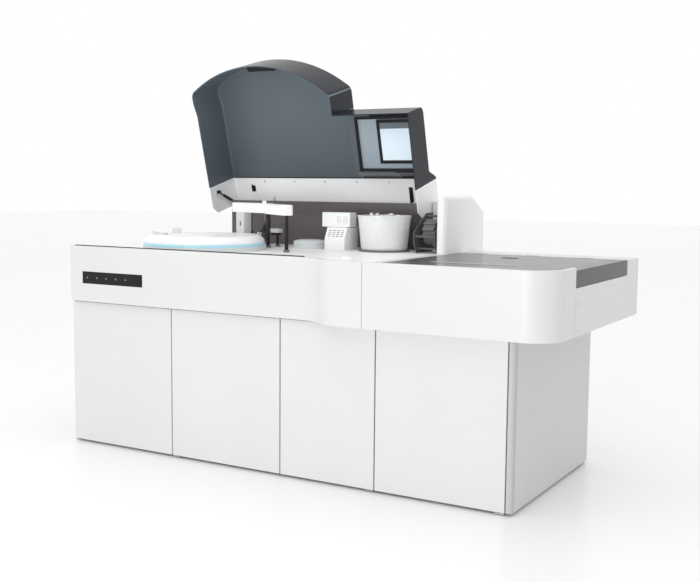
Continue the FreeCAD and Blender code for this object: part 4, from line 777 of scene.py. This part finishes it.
class ANALYZER_OT_side_screws(bpy.types.Operator):
    """Cover screws on the sampler's side and the door stops below the fascia"""
    bl_idname = "analyzer.side_screws"
    bl_label = "Side screws"

    def execute(self, context):
        radius = context.scene.analyzer_sizes.screw_radius / MILLIMETRE
        first = begin_disc("side_screw_1", "machinery", (1157, -326, 770), radius, height=2.4, axis="X")
        pick(first, facing("X", 1))
        inset(radius * 0.35)
        push(x=-1)
        complete(first, "cabinet", edge=0.3)
        repeat(first, "side_screw_2", (0, 9, -98), "cabinet")
        repeat(first, "side_screw_3", (0, 606, -1), "cabinet")
        stop = begin_disc("door_stop_1", "machinery", (538, -458, 648.8), radius=7, height=6.4)
        pick(stop, facing("Z", -1))
        inset(2)
        push(z=-1.6)
        complete(stop, "cabinet", edge=0.5)
        repeat(stop, "door_stop_2", (315, 0, 0), "cabinet")
        return {"FINISHED"}


class ANALYZER_OT_deck_latches(bpy.types.Operator):
    """Small latches on the deck's front ledge and the carousel cover's lever"""
    bl_idname = "analyzer.deck_latches"
    bl_label = "Deck latches"

    def execute(self, context):
        base, top, rim = 884.8, 890, 2
        first = begin_block("deck_latch_1", "white_metal", (-1010, -292, base), (-976, -276, top))
        pick(first, facing("Z", 1))
        inset(2.5)
        push(z=rim)
        above = (top + rim / 2) * MILLIMETRE
        pick(first, lambda middle, normal: normal.z > SQUARE_ON and middle.z > above)
        inset(2)
        push(z=-1.4)
        complete(first, "cabinet", edge=0.6)
        repeat(first, "deck_latch_2", (1165, 14, 0), "cabinet")
        lever = begin_block("cover_lever", "white_panel", (-868, -236, 951), (-812, -206, 957))
        pick(lever, facing("X", -1))
        push(x=-26, z=7)
        bpy.ops.transform.resize(value=(1, 0.72, 0.8))
        complete(lever, "cabinet", edge=1.8)
        return {"FINISHED"}


class ANALYZER_OT_sampler_trim(bpy.types.Operator):
    """Dark recess and light window strip on the sampler's cover"""
    bl_idname = "analyzer.sampler_trim"
    bl_label = "Sampler trim"

    def execute(self, context):
        plate = 890.2
        recess = begin_block("sampler_recess", "dark_trim", (696, 84, plate), (764, 116, 891.1))
        pick(recess, facing("Z", 1))
        inset(4)
        push(z=-0.6)
        complete(recess, "sampler_cover", edge=0.2)
        window = begin_block("sampler_window", "light_window", (560, -300, plate), (900, -262, 891.0))
        pick(window, facing("Z", 1))
        inset(3)
        push(z=0.3)
        complete(window, "sampler_cover", edge=0.2)
        return {"FINISHED"}


class ANALYZER_OT_status_marks(bpy.types.Operator):
    """Row of small plain lamps on the indicator strip"""
    bl_idname = "analyzer.status_marks"
    bl_label = "Status lamps"

    count, pitch, radius = 5, 56, 4.2

    def execute(self, context):
        first = begin_disc("status_lamp_1", "lamp_grey", row(118, -24.8, 760), self.radius,
                           height=1.2, axis="Y", sides=20)
        pick(first, facing("Y", -1))
        inset(self.radius * 0.3)
        push(y=0.4)
        complete(first, "cabinet", edge=0.1)
        for number in range(1, self.count):
            repeat(first, f"status_lamp_{number + 1}", (number * self.pitch, 0, 0), "cabinet")
        return {"FINISHED"}


class ANALYZER_OT_spring_ends(bpy.types.Operator):
    """Ball sockets on the gas springs' rods"""
    bl_idname = "analyzer.spring_ends"
    bl_label = "Spring ends"

    def execute(self, context):
        margin = 5
        for side in ("left", "right"):
            low, high = (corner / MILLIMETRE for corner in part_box(f"spring_rod_{side}"))
            centre = ((low.x + high.x) / 2, low.y + margin, high.z - margin)
            socket = begin_disc(f"spring_socket_{side}", "dark_trim", centre, radius=9, height=13, axis="X")
            pick(socket, lambda middle, normal: abs(normal.x) > SQUARE_ON)
            inset(3)
            bpy.ops.transform.resize(value=(1.25, 1, 1))
            complete(socket, f"spring_rod_{side}", edge=0.8)
        return {"FINISHED"}


# Stage

CAMERA_PLACE = Vector((2.2906, -3.8815, 1.1822))
CAMERA_TURN = math.radians(30.185)
CAMERA_DIP = math.radians(5.854)
CAMERA_ROLL = math.radians(0.519)
CAMERA_LENS = 53.19
SENSOR_WIDTH = 36

FLOOR_SIZE = 60
FLOOR_LEVEL = -0.0005

# Name, place, target, power, width and height of each area light
LIGHTS = (
    ("key_light", (-2.6, -4.2, 4.2), (0, 0, 0.7), 30, 3.5, 3.0),
    ("front_light", (0.5, -4.4, 0.9), (-0.2, 0.3, 1.15), 44, 1.8, 1.2),
    ("top_light", (0.2, -0.3, 4.6), (0, 0, 0.8), 16, 4.0, 2.5),
)


def area_light(name, place, target, power, width, height):
    data = bpy.data.lights.new(name, "AREA")
    data.shape = "RECTANGLE"
    data.size, data.size_y = width, height
    data.energy = power
    lamp = bpy.data.objects.new(name, data)
    bpy.context.scene.collection.objects.link(lamp)
    lamp.location = place
    lamp.rotation_euler = (Vector(target) - Vector(place)).to_track_quat("-Z", "Y").to_euler()


class ANALYZER_OT_stage(bpy.types.Operator):
    """Floor, studio light and the camera at the photograph's viewing angle"""
    bl_idname = "analyzer.stage"
    bl_label = "Stage"

    def execute(self, context):
        self.make_floor()
        self.make_lights(context.scene)
        self.make_camera(context.scene)
        return {"FINISHED"}

    def make_floor(self):
        bpy.ops.object.select_all(action="DESELECT")
        bpy.ops.mesh.primitive_plane_add(size=FLOOR_SIZE, location=(0, 0, FLOOR_LEVEL))
        floor = bpy.context.active_object
        floor.name = "studio_floor"
        finish = Finish("Studio Floor")
        finish.set(Base_Color=(0.90, 0.90, 0.90, 1), Roughness=0.22 + finish.noise(2, 2) * 0.06)
        floor.data.materials.append(finish.material)

    def make_lights(self, scene):
        world = bpy.data.worlds.new("Studio")
        world.use_nodes = True
        world.node_tree.nodes["Background"].inputs["Color"].default_value = (1, 1, 1, 1)
        world.node_tree.nodes["Background"].inputs["Strength"].default_value = 1.0
        scene.world = world
        scene.view_settings.view_transform = "Standard"
        for light in LIGHTS:
            area_light(*light)

    def make_camera(self, scene):
        data = bpy.data.cameras.new("photo_camera")
        data.sensor_fit = "HORIZONTAL"
        data.sensor_width = SENSOR_WIDTH
        data.lens = CAMERA_LENS
        camera = bpy.data.objects.new("photo_camera", data)
        scene.collection.objects.link(camera)
        turn, dip = CAMERA_TURN, CAMERA_DIP
        ahead = Vector((-math.sin(turn) * math.cos(dip), math.cos(turn) * math.cos(dip), -math.sin(dip)))
        level = Vector((math.cos(turn), math.sin(turn), 0))
        upright = level.cross(ahead)
        right = math.cos(CAMERA_ROLL) * level + math.sin(CAMERA_ROLL) * upright
        up = -math.sin(CAMERA_ROLL) * level + math.cos(CAMERA_ROLL) * upright
        basis = Matrix((right, up, -ahead)).transposed()
        camera.matrix_world = Matrix.Translation(CAMERA_PLACE) @ basis.to_4x4()
        scene.camera = camera


class ANALYZER_PT_panel(bpy.types.Panel):
    """Lists the steps and the settings"""
    bl_label = "Analyzer"
    bl_space_type = "VIEW_3D"
    bl_region_type = "UI"
    bl_category = "Analyzer"

    def draw(self, context):
        for operator in OPERATORS:
            self.layout.operator(operator.bl_idname)
        for settings in (context.scene.analyzer_paints, context.scene.analyzer_sizes):
            for name in settings.__annotations__:
                self.layout.prop(settings, name)


OPERATORS = (
    ANALYZER_OT_finishes,
    ANALYZER_OT_rear_baffle,
    ANALYZER_OT_deck_fill,
    ANALYZER_OT_deck_dark_strip,
    ANALYZER_OT_hatch_window,
    ANALYZER_OT_lid_latches,
    ANALYZER_OT_probe_guard,
    ANALYZER_OT_mixer_cap,
    ANALYZER_OT_dispenser_housing,
    ANALYZER_OT_cuvettes,
    ANALYZER_OT_side_screws,
    ANALYZER_OT_deck_latches,
    ANALYZER_OT_sampler_trim,
    ANALYZER_OT_status_marks,
    ANALYZER_OT_spring_ends,
    ANALYZER_OT_stage,
)
GROUPS = (AnalyzerPaints, AnalyzerSizes)


def register():
    for item in (*GROUPS, *OPERATORS, ANALYZER_PT_panel):
        bpy.utils.register_class(item)
    bpy.types.Scene.analyzer_paints = bpy.props.PointerProperty(type=AnalyzerPaints)
    bpy.types.Scene.analyzer_sizes = bpy.props.PointerProperty(type=AnalyzerSizes)


def unregister():
    del bpy.types.Scene.analyzer_sizes
    del bpy.types.Scene.analyzer_paints
    for item in reversed((*GROUPS, *OPERATORS, ANALYZER_PT_panel)):
        bpy.utils.unregister_class(item)


def main():
    register()
    bpy.ops.analyzer.finishes()
    bpy.ops.analyzer.rear_baffle()
    bpy.ops.analyzer.deck_fill()
    bpy.ops.analyzer.deck_seal()
    bpy.ops.analyzer.hatch_window()
    bpy.ops.analyzer.lid_latches()
    bpy.ops.analyzer.probe_guard()
    bpy.ops.analyzer.mixer_cap()
    bpy.ops.analyzer.dispenser_housing()
    bpy.ops.analyzer.cuvettes()
    bpy.ops.analyzer.side_screws()
    bpy.ops.analyzer.deck_latches()
    bpy.ops.analyzer.sampler_trim()
    bpy.ops.analyzer.status_marks()
    bpy.ops.analyzer.spring_ends()
    bpy.ops.analyzer.stage()


if __name__ == "__main__":
    main()
